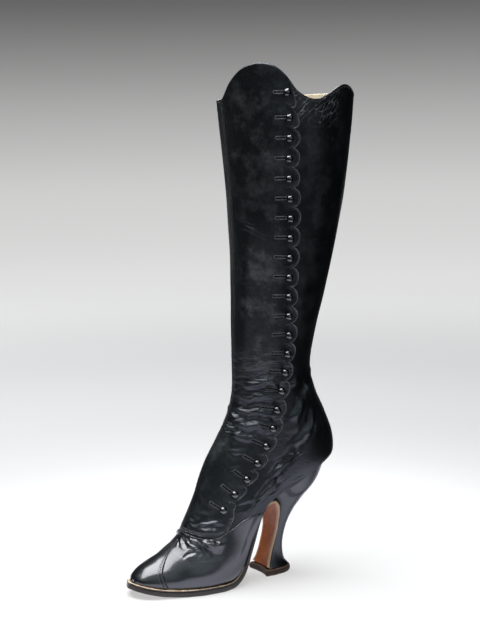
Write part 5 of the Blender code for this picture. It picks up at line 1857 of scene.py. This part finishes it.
def build_stage():
    """Round floor that sweeps up to a wall, cloths for the shine, softbox, faint world light and camera."""
    settings = bpy.context.scene.boot_stage
    run = run_along(FLOOR[:, :2])
    at = np.linspace(0, run[-1], FLOOR_STEPS)
    radius, height, shaded_paint, painted_glow = (flow(run, FLOOR[:, i], at, level=True)[:, None]
                                   for i in range(len(FLOOR_COLUMNS)))
    points = swept(radius, height, full_turn(FLOOR_SEGMENTS))
    stage_mesh("floor", points, True, paper(), {"shaded_paint": shaded_paint, "painted_glow": painted_glow})
    build_flag()
    build_disc()
    build_cards()
    add_panel("softbox", SOFTBOX_PLACE, SOFTBOX_SIZE, settings.softbox_power, srgb(SOFTBOX_TINT))
    world = bpy.data.worlds.new("studio")
    world.use_nodes = True
    background = world.node_tree.nodes["Background"].inputs
    background["Color"].default_value = opaque(srgb(WORLD_TINT))
    background["Strength"].default_value = WORLD_STRENGTH
    bpy.context.scene.world = world
    aim_camera(settings)
    bpy.context.scene.view_settings.view_transform = "Standard"


def finish_insole():
    """Natural leather on the insole's own solid."""
    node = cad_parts["insole"]
    node.data.materials.clear()
    node.data.materials.append(insole_leather())


class BOOT_OT_upper(bpy.types.Operator):
    """Build the shaft and quarters with their lining"""

    bl_idname = "boot.upper"
    bl_label = "Upper"

    def execute(self, context):
        build_upper()
        return {"FINISHED"}


class BOOT_OT_foot(bpy.types.Operator):
    """Build the vamp and the toe cap"""

    bl_idname = "boot.foot"
    bl_label = "Vamp and toe cap"

    def execute(self, context):
        build_vamp()
        build_toe_cap()
        return {"FINISHED"}


class BOOT_OT_fly(bpy.types.Operator):
    """Build the scalloped button fly"""

    bl_idname = "boot.fly"
    bl_label = "Button fly"

    def execute(self, context):
        build_fly()
        return {"FINISHED"}


class BOOT_OT_buttons(bpy.types.Operator):
    """Build the ball buttons and their worked buttonholes"""

    bl_idname = "boot.buttons"
    bl_label = "Buttons and buttonholes"

    def execute(self, context):
        build_buttons()
        build_buttonholes()
        return {"FINISHED"}


class BOOT_OT_sewing(bpy.types.Operator):
    """Sew the seams and punch the toe cap"""

    bl_idname = "boot.sewing"
    bl_label = "Sewing and punching"

    def execute(self, context):
        build_stitching()
        build_punching()
        return {"FINISHED"}


class BOOT_OT_sole(bpy.types.Operator):
    """Build the outsole and the welt and finish the insole"""

    bl_idname = "boot.sole"
    bl_label = "Sole, welt and insole"

    def execute(self, context):
        build_sole()
        finish_insole()
        return {"FINISHED"}


class BOOT_OT_heel(bpy.types.Operator):
    """Build the covered heel and its top lift"""

    bl_idname = "boot.heel"
    bl_label = "Heel and top lift"

    def execute(self, context):
        build_heel()
        return {"FINISHED"}


class BOOT_OT_stage(bpy.types.Operator):
    """Set the floor, the lights and the camera"""

    bl_idname = "boot.stage"
    bl_label = "Stage"

    def execute(self, context):
        build_stage()
        return {"FINISHED"}


class BOOT_PT_panel(bpy.types.Panel):
    """Lists the boot's pieces and settings"""

    bl_idname = "BOOT_PT_panel"
    bl_label = "Button boot"
    bl_space_type = "VIEW_3D"
    bl_region_type = "UI"
    bl_category = "Boot"

    def draw(self, context):
        for operator in OPERATORS:
            self.layout.operator(operator.bl_idname)
        for group in (context.scene.boot_sizes, context.scene.boot_colours, context.scene.boot_stage):
            for key in type(group).__annotations__:
                self.layout.prop(group, key)


GROUPS = {"boot_sizes": BootSizes, "boot_colours": BootColours, "boot_stage": StageSettings}
OPERATORS = (BOOT_OT_upper, BOOT_OT_foot, BOOT_OT_fly, BOOT_OT_buttons, BOOT_OT_sewing, BOOT_OT_sole,
             BOOT_OT_heel, BOOT_OT_stage)
CLASSES = (*GROUPS.values(), *OPERATORS, BOOT_PT_panel)


def register():
    for cls in CLASSES:
        bpy.utils.register_class(cls)
    for key, group in GROUPS.items():
        setattr(bpy.types.Scene, key, bpy.props.PointerProperty(type=group))


def unregister():
    for key in GROUPS:
        delattr(bpy.types.Scene, key)
    for cls in reversed(CLASSES):
        bpy.utils.unregister_class(cls)


def main():
    register()
    for operator in (bpy.ops.boot.upper, bpy.ops.boot.foot, bpy.ops.boot.fly, bpy.ops.boot.buttons,
                     bpy.ops.boot.sewing, bpy.ops.boot.sole, bpy.ops.boot.heel, bpy.ops.boot.stage):
        operator()


if __name__ == "__main__":
    main()
